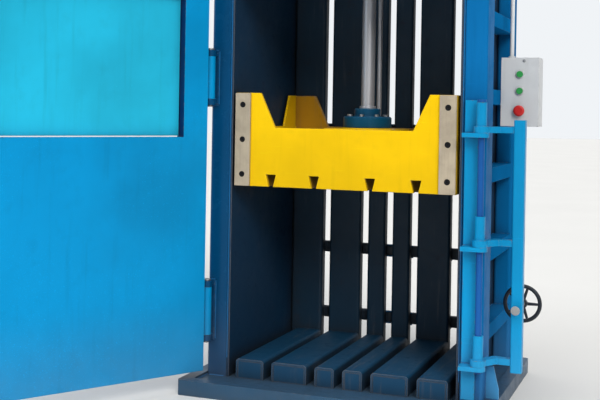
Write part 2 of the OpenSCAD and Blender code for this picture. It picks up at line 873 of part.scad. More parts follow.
// Rib frame on the door's outer side, with the hinge barrels and hatch knuckles
module door_frame() {
    y0 = door_face;
    y1 = door_back - skin_t;
    mid = (door_x0 + door_x1) / 2;
    block_d = 35;
    color("#0f7fc4") at_door() difference() {
        union() {
            block([door_x0, y0, door_z0], [door_x0 + stile_t, y1, door_z1]);
            block([door_x1 - stile_t, y0, door_z0], [door_x1, y1, door_z1]);
            block([hatch_x0 - stile_t, y0, door_z0], [hatch_x0, y1, door_z1]);
            block([hatch_x1, y0, door_z0], [hatch_x1 + stile_t, y1, door_z1]);
            for (z = [door_z0, hatch_z0 - stile_t, hatch_z1, door_z1 - stile_t])
                block([door_x0, y0, z], [door_x1, y1, z + stile_t]);
            for (z = [0.25, 0.5, 0.75])
                block([door_x0, y0, door_z0 + z * (hatch_z0 - door_z0)],
                      [door_x1, y1, door_z0 + z * (hatch_z0 - door_z0) + stile_t]);
            block([mid - stile_t, y0, door_z0], [mid, y1, hatch_z0]);
            for (z = [door_z0, hatch_z0 - door_flat])
                block([hatch_x0, y0, z], [hatch_x1, y0 + stile_t, z + door_flat]);
            block([hatch_x1 + stile_t, y0, latch_z - latch_h / 2],
                  [door_x1 - stile_t, y0 + block_d, latch_z + latch_h / 2]);
            door_grip();
            for (i = [0, 1]) {
                z0 = hinge_zs[i] + lug_t + gap;
                z1 = hinge_zs[i] + hinge_hs[i] - lug_t - gap;
                rod(hinge_x, hinge_y, z0, z1, knuckle_r);
                block([hinge_x, hinge_y - stile_t, z0], [door_x0, hinge_y + stile_t, z1]);
            }
            for (z = hatch_hinge_zs, k = [0, 2])
                hatch_knuckle(z + k * hatch_knuckle_h, true);
        }
        for (i = [0, 1])
            rod(hinge_x, hinge_y, hinge_zs[i], hinge_zs[i] + hinge_hs[i], hinge_pin_r + turn_fit);
        for (z = hatch_hinge_zs)
            rod(hatch_axis_x, hatch_axis_y, z - eps, z + 3 * hatch_knuckle_h + eps, hatch_pin_r);
        translate([latch_x, y0 - eps, latch_z]) rotate([-90, 0, 0])
            cylinder(h = block_d + 2 * eps, r = latch_r + turn_fit);
    }
}

// Pull bar on two stems that stand on the flat under the hatch
module door_grip() {
    stem_in = 16;
    for (x = [grip_x - grip_w / 2 + stem_in, grip_x + grip_w / 2 - stem_in])
        translate([x, door_face, grip_z]) rotate([90, 0, 0]) cylinder(h = grip_out, r = grip_r - 2);
    translate([grip_x - grip_w / 2, door_face - grip_out, grip_z]) rotate([0, 90, 0])
        cylinder(h = grip_w, r = grip_r);
}

// One knuckle of a hatch hinge, tabbed onto the door frame or onto the hatch
module hatch_knuckle(z, fixed) {
    trim = fixed ? 0 : gap;
    h = hatch_knuckle_h - 2 * trim;
    translate([0, 0, z + trim]) union() {
        translate([hatch_axis_x, hatch_axis_y, 0]) cylinder(h = h, r = hatch_knuckle_r);
        if (fixed)
            block([hatch_axis_x - stile_t / 2, hatch_axis_y, 0], [hatch_axis_x + stile_t / 2, door_face, h]);
    }
}

module hatch_panel() {
    x0 = hatch_x0 + hatch_gap;
    x1 = hatch_x1 - hatch_gap;
    z0 = hatch_z0 + hatch_gap;
    z1 = hatch_z1 - hatch_gap;
    y0 = door_face - hatch_out;
    y1 = y0 + hatch_t;
    rim = 10;
    color("#27acd9") at_door() union() {
        block([x0, y1 - hatch_plate_t, z0], [x1, y1, z1]);
        difference() {
            block([x0, y0, z0], [x1, y1 - hatch_plate_t, z1]);
            block([x0 + rim, y0 - eps, z0 + rim], [x1 - rim, y1 - hatch_plate_t + eps, z1 - rim]);
        }
        for (z = [for (k = [1, 2]) z0 + k * (z1 - z0) / 3])
            block([x0 + rim, y0, z], [x1 - rim, y1 - hatch_plate_t, z + rim]);
    }
}

// Moving leaves of the hatch hinges, with their pins
module hatch_hinges() {
    y1 = door_face - hatch_out;
    color("#8b9099") at_door() for (z = hatch_hinge_zs) union() {
        hatch_knuckle(z + hatch_knuckle_h, false);
        block([hatch_axis_x, y1 - leaf_t, z + hatch_knuckle_h + gap],
              [hatch_axis_x + leaf_w, y1, z + 2 * hatch_knuckle_h - gap]);
        rod(hatch_axis_x, hatch_axis_y, z - 4, z + 3 * hatch_knuckle_h + 4, hatch_pin_r - turn_fit);
    }
}

// Turn bar that swings over the hatch's rim to hold it shut
module hatch_latch() {
    y = door_face - hatch_out - gap;
    color("#9aa0a6") at_door() union() {
        translate([latch_x, y, latch_z]) rotate([-90, 0, 0]) cylinder(h = latch_shaft, r = latch_r);
        block([latch_x - latch_w / 2, y - latch_t, latch_z - 20],
              [latch_x + latch_w / 2, y, latch_z + latch_reach]);
        translate([latch_x, y, latch_z]) rotate([90, 0, 0]) cylinder(h = latch_t + 8, r = latch_w / 2 + 3);
        translate([latch_x, y - latch_t, latch_z + latch_reach - latch_w / 2]) rotate([90, 0, 0]) union() {
            cylinder(h = knob_out, r = latch_r + 1);
            translate([0, 0, knob_out]) sphere(r = latch_w / 2);
        }
    }
}

module platen_front() {
    color("#e8bb0c") difference() {
        upright_plate(platen_y0, platen_t) difference() {
            eared_outline();
            notch_outline();
        }
        pad_screw_holes();
    }
}

module platen_rear() {
    color("#d9ab0a") upright_plate(platen_y1 - platen_t, platen_t) difference() {
        eared_outline();
        notch_outline();
    }
}

// Deck, side plates and ribs of the platen, a single weldment
module platen_box() {
    y0 = platen_y0 + platen_t;
    y1 = platen_y1 - platen_t;
    x = platen_x - side_t;
    deck_z0 = platen_z + press_h;
    rib_z1 = inner_z - pedestal_t;
    rib_out = pedestal / 2 - platen_rib_t / 2;
    rib_in = rib_out - platen_rib_t;
    color("#e0b20a") union() {
        block([-x, y0, deck_z0], [x, y1, deck_top]);
        for (s = [-1, 1]) platen_side(s);
        for (s = [-1, 1]) {
            block([-x, platen_cy + min(s * rib_in, s * rib_out), deck_top],
                  [x, platen_cy + max(s * rib_in, s * rib_out), rib_z1]);
            block([min(s * rib_in, s * rib_out), y0, deck_top],
                  [max(s * rib_in, s * rib_out), y1, rib_z1]);
        }
        block([-pedestal / 2, platen_cy - pedestal / 2, inner_z - pedestal_t],
              [pedestal / 2, platen_cy + pedestal / 2, inner_z]);
    }
}

// Side plate of the platen, with an ear at each end
module platen_side(s) {
    y0 = platen_y0 + platen_t;
    y1 = platen_y1 - platen_t;
    x = s < 0 ? -platen_x : platen_x - side_t;
    translate([x, 0, 0]) rotate([90, 0, 90]) linear_extrude(side_t) polygon([
        [y0, platen_z],
        [y1, platen_z],
        [y1, ear_z],
        [y1 - side_ear, ear_z],
        [y1 - side_ear - slope_run, inner_z],
        [y0 + side_ear + slope_run, inner_z],
        [y0 + side_ear, ear_z],
        [y0, ear_z]
    ]);
}

// Bars below the platen's deck, with the twine ways between them
module press_bars() {
    t = 12;
    y0 = platen_y0 + platen_t;
    y1 = platen_y1 - platen_t;
    color("#c79d08") for (i = [0 : len(press_x0) - 1]) difference() {
        block([press_x0[i], y0, platen_z], [press_x1[i], y1, platen_z + press_h]);
        block([press_x0[i] + t, y0 + t, platen_z + t], [press_x1[i] - t, y1 - t, platen_z + press_h + eps]);
    }
}

// Places its children at every screw of the wear pads
module at_pad_screws() {
    for (s = [-1, 1], k = [-1, 0, 1])
        translate([s * (platen_x - pad_w / 2), platen_y0, (platen_z + ear_z) / 2 + k * pad_screw_pitch])
            rotate([90, 0, 0]) children();
}

module pad_screw_holes() {
    at_pad_screws() translate([0, 0, -platen_t - eps]) cylinder(h = platen_t + 2 * eps, r = pad_screw_r);
}

module wear_pads() {
    inset = 1;
    color("#b3a590") difference() {
        for (s = [-1, 1])
            block([s < 0 ? -platen_x + inset : platen_x - pad_w, platen_y0 - pad_t, platen_z + inset],
                  [s < 0 ? -platen_x + pad_w : platen_x - inset, platen_y0, ear_z - inset]);
        at_pad_screws() translate([0, 0, -eps]) cylinder(h = pad_t + 2 * eps, r = pad_screw_r);
        at_pad_screws() translate([0, 0, pad_t - 5]) cylinder(h = 5 + eps, r = pad_screw_r + 5);
    }
}

// Socket screws sunk into the wear pads
module wear_screws() {
    color("#3a332c") at_pad_screws() difference() {
        union() {
            translate([0, 0, -platen_t]) cylinder(h = platen_t + pad_t - 5, r = pad_screw_r);
            translate([0, 0, pad_t - 5]) cylinder(h = 4, r = pad_screw_r + 4.5);
        }
        translate([0, 0, pad_t - 4]) cylinder(h = 4, r = 6, $fn = 6);
    }
}

// Disc and boss that take the rod's thrust, with a ring of screw heads
module rod_flange() {
    screws = 8;
    screw_h = 10;
    screw_head = 11;
    rim = 24;
    color("#1b5f8c") difference() {
        union() {
            rod(0, platen_cy, inner_z, inner_z + flange_t, flange_d / 2);
            rod(0, platen_cy, inner_z + flange_t, boss_top, boss_d / 2);
            for (i = [0 : screws - 1])
                translate([0, platen_cy, inner_z + flange_t]) rotate([0, 0, i * 360 / screws])
                    translate([flange_d / 2 - rim, 0, 0]) cylinder(h = screw_h, r = screw_head, $fn = 6);
        }
        rod(0, platen_cy, inner_z, boss_top + eps, rod_d / 2);
    }
}

module piston_rod() {
    color("#b9bcc2") union() {
        rod(0, platen_cy, inner_z, piston_z, rod_d / 2);
        rod(0, platen_cy, boss_top, boss_top + collar_h, rod_d / 2 + 8);
    }
}

module piston() {
    color("#6d7278") difference() {
        rod(0, platen_cy, piston_z, piston_z + piston_h, bore_r - fit);
        for (k = [0.25, 0.75])
            translate([0, platen_cy, piston_z + k * piston_h - 3]) difference() {
                cylinder(h = 6, r = bore_r);
                translate([0, 0, -eps]) cylinder(h = 6 + 2 * eps, r = bore_r - 4);
            }
    }
}

// Slim rod that reports the platen's height to the limit switches
module stroke_rod() {
    color("#c4c7cc") union() {
        rod(stroke_x, platen_cy + stroke_y, inner_z, stroke_top, stroke_r);
        rod(stroke_x, platen_cy + stroke_y, inner_z, inner_z + 25, stroke_r + 10);
    }
}

base_frame();
base_plate();
corner_gusset();
floor_bar(0);  // floor_bar_1
floor_bar(1);  // floor_bar_2
floor_bar(2);  // floor_bar_3
floor_bar(3);  // floor_bar_4
floor_bar(4);  // floor_bar_5
floor_bar(5);  // floor_bar_6
left_post();
right_post();
left_wall();
right_wall();
left_side_frame();
right_side_frame();
rear_slat(0);  // rear_slat_1
rear_slat(1);  // rear_slat_2
rear_slat(2);  // rear_slat_3
rear_slat(3);  // rear_slat_4
rear_slat(4);  // rear_slat_5
rear_slat(5);  // rear_slat_6
rear_ribs();
front_header();
crown_frame();
cylinder_barrel();
cylinder_gland();
flange_bolts();
oil_tank();
motor();
pump();
oil_pipes();
control_box();
button_up();
button_down();
stop_button();
post_hinges();
hinge_pins();
lock_rail();
lock_pin();
door_skin();
door_frame();
hatch_panel();
hatch_hinges();
hatch_latch();
lock_arm(0);  // lock_arm_1
lock_arm(1);  // lock_arm_2
lock_arm(2);  // lock_arm_3
lock_tie();
clamp_screw();
handwheel();
platen_front();
platen_rear();
platen_box();
press_bars();
wear_pads();
wear_screws();
rod_flange();
piston_rod();
piston();
stroke_rod();
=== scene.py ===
"""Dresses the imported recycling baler: enamel, nylon, chrome and plated steel over its CAD frame."""

from __future__ import annotations

import logging
import math
from collections.abc import Callable, Sequence
from dataclasses import dataclass
from enum import Enum

import bmesh
import bpy
import numpy as np
from mathutils import Matrix, Vector
from mathutils.bvhtree import BVHTree


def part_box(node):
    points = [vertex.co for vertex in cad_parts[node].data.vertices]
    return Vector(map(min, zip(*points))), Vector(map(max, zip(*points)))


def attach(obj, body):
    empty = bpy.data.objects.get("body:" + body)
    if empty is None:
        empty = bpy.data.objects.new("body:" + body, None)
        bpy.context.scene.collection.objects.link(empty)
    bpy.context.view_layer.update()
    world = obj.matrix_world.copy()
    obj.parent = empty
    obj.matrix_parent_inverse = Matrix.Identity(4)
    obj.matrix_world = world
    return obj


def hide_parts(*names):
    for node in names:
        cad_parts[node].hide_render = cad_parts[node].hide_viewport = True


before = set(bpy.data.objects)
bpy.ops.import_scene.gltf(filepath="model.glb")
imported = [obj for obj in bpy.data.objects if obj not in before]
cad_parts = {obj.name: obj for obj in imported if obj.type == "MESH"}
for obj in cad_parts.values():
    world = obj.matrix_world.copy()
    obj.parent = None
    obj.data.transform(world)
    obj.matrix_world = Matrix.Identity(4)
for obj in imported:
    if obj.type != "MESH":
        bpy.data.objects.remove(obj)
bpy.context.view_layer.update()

logging.basicConfig(level=logging.INFO, format="%(name)s: %(message)s")
log = logging.getLogger("baler")

Rgb = tuple[float, float, float]
Point = tuple[float, float, float]
Flat = tuple[float, float]
Lines = list[list[Point]]

SHARP_ANGLE = 32.0  # degrees between two faces from which on their edge is sharp
FLAT_ANGLE = 0.4  # degrees up to which two faces are one flat
JOIN_REACH = 2e-5  # distance up to which two points are one
STRAY_SHARE = 1.6  # how far a rounded point may lie from its source, in widths of the rounding
LEANING = (0.94, 2e-3)  # cosine and area from which the shading of a face leans too far
FOLDED = (0.9, 2e-5)  # cosine and area from which a triangle counts as folded over
HINGE_SPANS = ((0.232, 0.290), (1.367, 0.266))  # foot and length of each door hinge
ARM_HEIGHTS = (0.245, 0.766, 1.264)  # undersides of the lock's arms
RIB_HEIGHTS = (0.210, 0.570, 0.920, 1.220, 1.970)  # undersides of the rear channels
RIB_TALL = 0.060  # height of a rear channel
ROD_SPOT = (0.0, 0.019)  # plan position of the cylinder's axis
PLATEN_TOP = 1.264  # height of the platen's deck, on which the rod flange stands
ROUND = 2 * math.pi
UP = (0, 0, 1)
DOWN = (0, 0, -1)


def paint_chip(red: int, green: int, blue: int) -> Rgb:
    """Turns a screen colour, 0 to 255, into the linear one that shaders take."""
    parts = [c / 255 for c in (red, green, blue)]
    return tuple(c / 12.92 if c <= 0.04045 else ((c + 0.055) / 1.055) ** 2.4 for c in parts)


def tinted(colour: Rgb, gain: float) -> Rgb:
    """A colour made lighter or darker by a factor."""
    return tuple(min(1.0, c * gain) for c in colour)


# Nodes


def both_sides(operation: str) -> tuple[Callable[[Signal, Operand], Signal], ...]:
    """Makes the two methods of an operator: for the signal on its left and, reflected, on its right.

    Args:
        operation: The operation's name, such as ADD or MULTIPLY.

    Returns:
        The plain and the reflected method.
    """
    return (
        lambda signal, other: signal.combine(operation, signal, other),
        lambda signal, other: signal.combine(operation, other, signal),
    )


class Signal:
    """A node socket on which Python operators add nodes.

    Numbers go through Math, vectors through Vector Math and colours through Mix.
    """

    def __init__(self, nodes: Nodes, socket: bpy.types.NodeSocket) -> None:
        """Wraps a socket of the tree that nodes builds."""
        self.nodes = nodes
        self.socket = socket

    def combine(self, operation: str, first: Operand, second: Operand) -> Signal:
        """Adds the node of an operation's name, such as ADD, for the kind of socket that this is."""
        if self.socket.type == "RGBA":
            return self.nodes.mix(first, second, 1.0, operation)
        kind = "ShaderNodeVectorMath" if self.socket.type == "VECTOR" else "ShaderNodeMath"
        return self.nodes.take(kind, 0, {"operation": operation}, {0: first, 1: second})

    __add__, __radd__ = both_sides("ADD")
    __sub__, __rsub__ = both_sides("SUBTRACT")
    __mul__, __rmul__ = both_sides("MULTIPLY")
    __truediv__, __rtruediv__ = both_sides("DIVIDE")

    def maximum(self, other: Operand) -> Signal:
        """The larger of two numbers."""
        return self.combine("MAXIMUM", self, other)

    def fraction(self) -> Signal:
        """The part of a number after its point."""
        return self.nodes.take("ShaderNodeMath", 0, {"operation": "FRACT"}, {0: self})

    def between(self, low: float, high: float) -> Signal:
        """A soft step from 0 at low to 1 at high."""
        span = {0: self, 1: low, 2: high, 3: 0.0, 4: 1.0}
        return self.nodes.take("ShaderNodeMapRange", 0, {"interpolation_type": "SMOOTHSTEP"}, span)

    def part(self, axis: int) -> Signal:
        """One of the three numbers of a vector."""
        return self.nodes.take("ShaderNodeSeparateXYZ", axis, {}, {0: self})


Operand = Signal | float | int | Sequence[float]


class Nodes:
    """Adds nodes to one tree, for a material or for Geometry Nodes."""

    def __init__(self, tree: bpy.types.NodeTree) -> None:
        """Starts on an empty tree."""
        self.tree = tree

    def node(
        self, kind: str, settings: dict[str, object] | None = None,
        inputs: dict[int | str, object] | None = None,
    ) -> bpy.types.Node:
        """Adds a node, sets what it is, then fills or links its sockets.

        Args:
            kind: The node's type.
            settings: Its own settings, such as an operation.
            inputs: Values or signals by socket index or name.

        Returns:
            The node.
        """
        made = self.tree.nodes.new(kind)
        for key, value in (settings or {}).items():
            setattr(made, key, value)
        for key, value in (inputs or {}).items():
            socket = made.inputs[key]
            if isinstance(value, Signal):
                self.tree.links.new(value.socket, socket)
            elif socket.type == "VECTOR" and isinstance(value, (int, float)):
                socket.default_value = (value,) * 3
            elif socket.type == "RGBA" and len(value) == 3:
                socket.default_value = (*value, 1.0)
            else:
                socket.default_value = value
        return made

    def take(
        self, kind: str, output: int | str, settings: dict[str, object], inputs: dict[int | str, object]
    ) -> Signal:
        """Adds a node and returns one of its outputs as a signal."""
        return Signal(self, self.node(kind, settings, inputs).outputs[output])

    def mix(self, first: Operand, second: Operand, factor: Operand, blend: str = "MIX") -> Signal:
        """Mixes two colours, of which the second shows as far as the factor says."""
        settings = {"data_type": "RGBA", "blend_type": blend}
        return self.take("ShaderNodeMix", 2, settings, {0: factor, 6: first, 7: second})


class Shade(Nodes):
    """A material with one Principled shader that reads Object coordinates."""

    def __init__(self, name: str) -> None:
        """Makes the material with an empty tree but for its shader."""
        self.material = bpy.data.materials.new(name)
        self.material.use_nodes = True
        super().__init__(self.material.node_tree)
        self.tree.nodes.clear()
        self.shader = self.node("ShaderNodeBsdfPrincipled")
        self.node("ShaderNodeOutputMaterial", {}, {0: Signal(self, self.shader.outputs[0])})
        self.place = self.take("ShaderNodeTexCoord", "Object", {}, {})

    def noise(
        self, scale: float, detail: float = 3.0, rough: float = 0.5, stretch: Point = (1, 1, 1),
        turn: Point = (0, 0, 0),
    ) -> Signal:
        """Cloudy noise about 0.5 over the piece.

        Args:
            scale: Cells in a metre.
            detail: Octaves.
            rough: Share of the fine octaves.
            stretch: Scale of each axis, for streaks.
            turn: Turn of the pattern about each axis, in radians.

        Returns:
            The noise.
        """
        laid = {"Vector": self.place, "Rotation": turn, "Scale": stretch}
        spot = self.take("ShaderNodeMapping", 0, {}, laid)
        grain = {"Vector": spot, "Scale": scale, "Detail": detail, "Roughness": rough}
        return self.take("ShaderNodeTexNoise", 0, {}, grain)

    def layers(self, tone: Operand, *coats: tuple[Rgb, Operand]) -> Signal:
        """Lays colours over a first one, each as far as its factor says."""
        for colour, factor in coats:
            tone = self.mix(tone, colour, factor)
        return tone

    def scratches(self, turn: Point, density: float) -> Signal:
        """Thin long scratches along one turned direction.

        Args:
            turn: Turn of the scratches, in radians.
            density: How much of the surface has them, from 0 to 1.

        Returns:
            1 in a scratch and 0 beside it.
        """
        line = self.noise(1.0, 2.0, 0.5, (5, 190, 190), turn)
        patch = self.noise(2.3, 2.0, 0.5, (1, 1, 1), turn)
        edge = 0.76 - 0.16 * density
        return line.between(edge, edge + 0.05) * patch.between(0.48, 0.62)

    def edges(self, radius: float) -> Signal:
        """1 on the outer edges of a piece and 0 on its flats."""
        soft = self.take("ShaderNodeBevel", 0, {"samples": 4}, {"Radius": radius})
        plain = self.take("ShaderNodeNewGeometry", "Normal", {}, {})
        same = self.take("ShaderNodeVectorMath", "Value", {"operation": "DOT_PRODUCT"}, {0: soft, 1: plain})
        return (1 - same).between(0.015, 0.11)

    def corners(self, distance: float) -> Signal:
        """1 deep in corners, where less light reaches, and 0 in the open: the mask for painted shade."""
        open_sky = self.take("ShaderNodeAmbientOcclusion", "AO", {"samples": 4}, {"Distance": distance})
        return 1 - open_sky.between(0.25, 0.95)

    def dress(self, varying: dict[str, Signal], constants: dict[str, object]) -> None:
        """Feeds the shader.

        Args:
            varying: Signals by the shader's socket.
            constants: Plain values by the shader's socket.
        """
        for key, value in varying.items():
            self.tree.links.new(value.socket, self.shader.inputs[key])
        for key, value in constants.items():
            self.shader.inputs[key].default_value = value

    def bump(self, height: Signal, distance: float, round_off: float = 0.0018) -> None:
        """Raises the surface for light only, over edges that look rounded off.

        Args:
            height: The height, about 0 to 1.
            distance: What a height of 1 stands for, in metres.
            round_off: Radius of the rounding on edges, in metres.
        """
        soft = self.take("ShaderNodeBevel", 0, {"samples": 4}, {"Radius": round_off})
        relief = {"Strength": 0.6, "Distance": distance, "Height": height, "Normal": soft}
        self.dress({"Normal": self.take("ShaderNodeBump", 0, {}, relief)}, {})


# Finishes


@dataclass(frozen=True)
class Finish:
    """What all finishes share: a name and the record's material slot."""

    name: str
    slot: str

    def material(self) -> bpy.types.Material:
        """The finish as a material, made at its first use."""
        found = bpy.data.materials.get(self.name)
        if found is None:
            shade = Shade(self.name)
            self.paint(shade)
            found = shade.material
        return found

    def paint(self, shade: Shade) -> None:
        """Builds the finish on a new material."""
        raise NotImplementedError


@dataclass(frozen=True)
class Enamel(Finish):
    """Gloss enamel brushed or sprayed on steel, rubbed at its edges, scratched, dusty low down and darkened
    in its corners as painted shade.
    """

    colour: Rgb
    gloss: float = 0.28
    rub: float = 0.6
    # weight of the grime streaks and dust, and of the painted shade in corners
    grime_and_shade: float = 0.5
    scratch: float = 0.5
    shine: float = 0.32
    bare: Rgb = paint_chip(120, 122, 124)

    def paint(self, shade: Shade) -> None:
        """Builds the finish on a new material."""
        coats = shade.noise(1.4, 4.0, 0.55)
        mottle = shade.noise(11.0, 5.0, 0.62)
        peel = shade.noise(240.0, 2.0)
        runs = shade.noise(1.0, 5.0, 0.62, (26, 26, 1.6))
        chips = shade.noise(70.0, 4.0, 0.7).between(0.52, 0.60)
        rubbed = shade.edges(0.006) * chips * self.rub
        along, across = (shade.scratches(turn, self.scratch) for turn in ((0.3, 0.2, 0.9), (1.2, 0.6, 0.3)))
        marks = along.maximum(across) * (0.55 * self.scratch)
        low = (1 - shade.place.part(2).between(0.02, 0.5)) * (0.25 + 0.5 * mottle)
        streak = runs.between(0.52, 0.78) * (0.45 * self.grime_and_shade)
        tone = shade.layers(
            tinted(self.colour, 0.84),
            (tinted(self.colour, 1.12), coats.between(0.3, 0.7)),
            (tinted(self.colour, 0.7), mottle.between(0.5, 0.85) * 0.35),
            (tinted(self.colour, 0.45), streak),
            # painted shade: darker in corners, by ambient occlusion
            (paint_chip(30, 27, 23), shade.corners(0.06) * self.grime_and_shade * 0.75),
            (paint_chip(150, 138, 118), low * (0.35 * self.grime_and_shade)),
            (tinted(self.colour, 1.9), marks),
            (self.bare, rubbed),
        )
        rough = self.gloss + 0.16 * mottle.between(0.4, 0.8) + 0.2 * streak + 0.25 * marks + 0.3 * low
        shade.dress(
            {"Base Color": tone, "Roughness": rough, "Metallic": rubbed * 0.8},
            {"Specular IOR Level": self.shine, "IOR": 1.5, "Specular Tint": self.sheen()},
        )
        shade.bump(0.35 * peel + 0.6 * mottle - 0.7 * marks - 0.9 * rubbed + 4.0 * coats, 0.0006)

    def sheen(self) -> tuple[float, float, float, float]:
        """The colour of the enamel's own reflections, which pigment near the surface tints."""
        peak = max(self.colour)
        return (*(0.3 + 0.7 * c / peak for c in self.colour), 1.0)


@dataclass(frozen=True)
class WornEnamel(Finish):
    """Enamel that bales have scoured down to bright steel where they slide, with painted shade darkening its
    corners.
    """

    colour: Rgb
    bare: Rgb = paint_chip(112, 112, 114)
    worn: float = 0.5

    def paint(self, shade: Shade) -> None:
        """Builds the finish on a new material."""
        coats = shade.noise(1.7, 4.0, 0.6)
        mottle = shade.noise(13.0, 6.0, 0.65)
        slide = shade.noise(1.0, 5.0, 0.6, (42, 3.0, 3.0))
        rubbed = (shade.edges(0.009) * mottle.between(0.3, 0.5)).maximum(
            slide.between(0.62 - 0.2 * self.worn, 0.75) * self.worn * coats.between(0.4, 0.6)
        )
        rust = shade.noise(24.0, 6.0, 0.7).between(0.56, 0.7) * (1 - rubbed)
        tone = shade.layers(
            tinted(self.colour, 0.75),
            (tinted(self.colour, 1.2), coats),
            (paint_chip(72, 50, 36), rust * 0.16),
            # painted shade: darker in corners, by ambient occlusion
            (paint_chip(24, 22, 20), shade.corners(0.09) * 0.7),
            (self.bare, rubbed),
        )
        rough = 0.42 + 0.3 * mottle - 0.16 * rubbed + 0.2 * rust
        varying = {"Base Color": tone, "Roughness": rough, "Metallic": rubbed * 0.85}
        shade.dress(varying, {"Specular IOR Level": 0.35})
        shade.bump(0.7 * mottle - 0.8 * rubbed + 0.5 * slide, 0.0008)


@dataclass(frozen=True)
class WornNylon(Finish):
    """Cast nylon, scored up and down by the walls and grey with dust, with painted shade darkening its
    corners.
    """

    colour: Rgb = paint_chip(172, 158, 136)

    def paint(self, shade: Shade) -> None:
        """Builds the finish on a new material."""
        scored = shade.noise(1.0, 5.0, 0.65, (230, 230, 4))
        cloud = shade.noise(9.0, 5.0, 0.6)
        stains = shade.noise(3.2, 4.0, 0.6, (1, 1, 0.5))
        tone = shade.layers(
            tinted(self.colour, 0.78),
            (tinted(self.colour, 1.08), cloud.between(0.3, 0.7)),
            (paint_chip(112, 100, 84), scored.between(0.5, 0.75) * 0.45),
            (paint_chip(92, 74, 54), stains.between(0.55, 0.75) * 0.4),
            # painted shade: darker in corners, by ambient occlusion
            (paint_chip(60, 52, 44), shade.corners(0.02) * 0.7),
            (tinted(self.colour, 1.2), shade.edges(0.004) * 0.4),
        )
        shade.dress({"Base Color": tone, "Roughness": 0.52 + 0.25 * cloud}, {"IOR": 1.52})
        shade.bump(0.8 * scored + 0.5 * cloud, 0.0007)


@dataclass(frozen=True)
class HardChrome(Finish):
    """Ground and chromed rod with a thin oil film and faint wiper rings."""

    colour: Rgb = paint_chip(176, 178, 184)

    def paint(self, shade: Shade) -> None:
        """Builds the finish on a new material."""
        rings = shade.noise(1.0, 4.0, 0.6, (2, 2, 420))
        wiped = shade.noise(1.0, 4.0, 0.55, (70, 70, 1.1))
        film = shade.noise(4.0, 4.0, 0.6)
        tone = shade.layers(
            self.colour,
            (tinted(self.colour, 0.85), wiped.between(0.5, 0.8) * 0.6),
            (paint_chip(150, 132, 104), film.between(0.55, 0.8) * 0.3),
        )
        rough = 0.26 + 0.16 * wiped + 0.1 * film
        shade.dress({"Base Color": tone, "Roughness": rough}, {"Metallic": 0.55})
        shade.bump(0.5 * rings, 0.00015)


@dataclass(frozen=True)
class Plating(Finish):
    """Zinc plated or oiled steel with dull patches, brown oil stains and painted shade darkening its corners.
    """

    colour: Rgb = paint_chip(172, 174, 176)
    rough: float = 0.34
    # weight of the brown oil stains and of the painted shade in corners
    oil_and_shade: float = 0.4

    def paint(self, shade: Shade) -> None:
        """Builds the finish on a new material."""
        cloud = shade.noise(26.0, 5.0, 0.65)
        fine = shade.noise(380.0, 3.0)
        shine = shade.edges(0.0025)
        tone = shade.layers(
            tinted(self.colour, 0.7),
            (self.colour, cloud.between(0.3, 0.7)),
            (paint_chip(104, 70, 44), cloud.between(0.6, 0.8) * (0.3 * self.oil_and_shade)),
            # painted shade: darker in corners, by ambient occlusion
            (paint_chip(22, 20, 18), shade.corners(0.025) * self.oil_and_shade),
            (tinted(self.colour, 1.2), shine * 0.6),
        )
        rough = self.rough + 0.22 * cloud - 0.1 * shine
        shade.dress({"Base Color": tone, "Roughness": rough}, {"Metallic": 0.9})
        shade.bump(0.5 * fine + 0.5 * cloud, 0.0003)


@dataclass(frozen=True)
class Moulded(Finish):
    """Moulded plastic with a fine pebble, thumbed shiny on its face, with painted shade in its corners."""

    colour: Rgb
    rough: float = 0.32

    def paint(self, shade: Shade) -> None:
        """Builds the finish on a new material."""
        pebble = shade.noise(900.0, 2.0)
        thumb = shade.noise(40.0, 3.0)
        tone = shade.layers(
            tinted(self.colour, 0.85),
            (tinted(self.colour, 1.1), thumb),
            # painted shade: darker in corners, by ambient occlusion
            (tinted(self.colour, 0.3), shade.corners(0.01) * 0.6),
        )
        shade.dress({"Base Color": tone, "Roughness": self.rough + 0.2 * thumb}, {"IOR": 1.49})
        shade.bump(pebble, 0.0001)


@dataclass(frozen=True)
class Ground(Finish):
    """Plain pale studio floor with the faintest clouding."""

    colour: Rgb = (0.78, 0.77, 0.75)

    def paint(self, shade: Shade) -> None:
        """Builds the finish on a new material."""
        cloud = shade.noise(0.8, 4.0)
        fine = shade.noise(60.0, 3.0)
        tone = shade.mix(tinted(self.colour, 0.96), tinted(self.colour, 1.03), cloud)
        shade.dress({"Base Color": tone, "Roughness": 0.62 + 0.1 * fine}, {"IOR": 1.45})


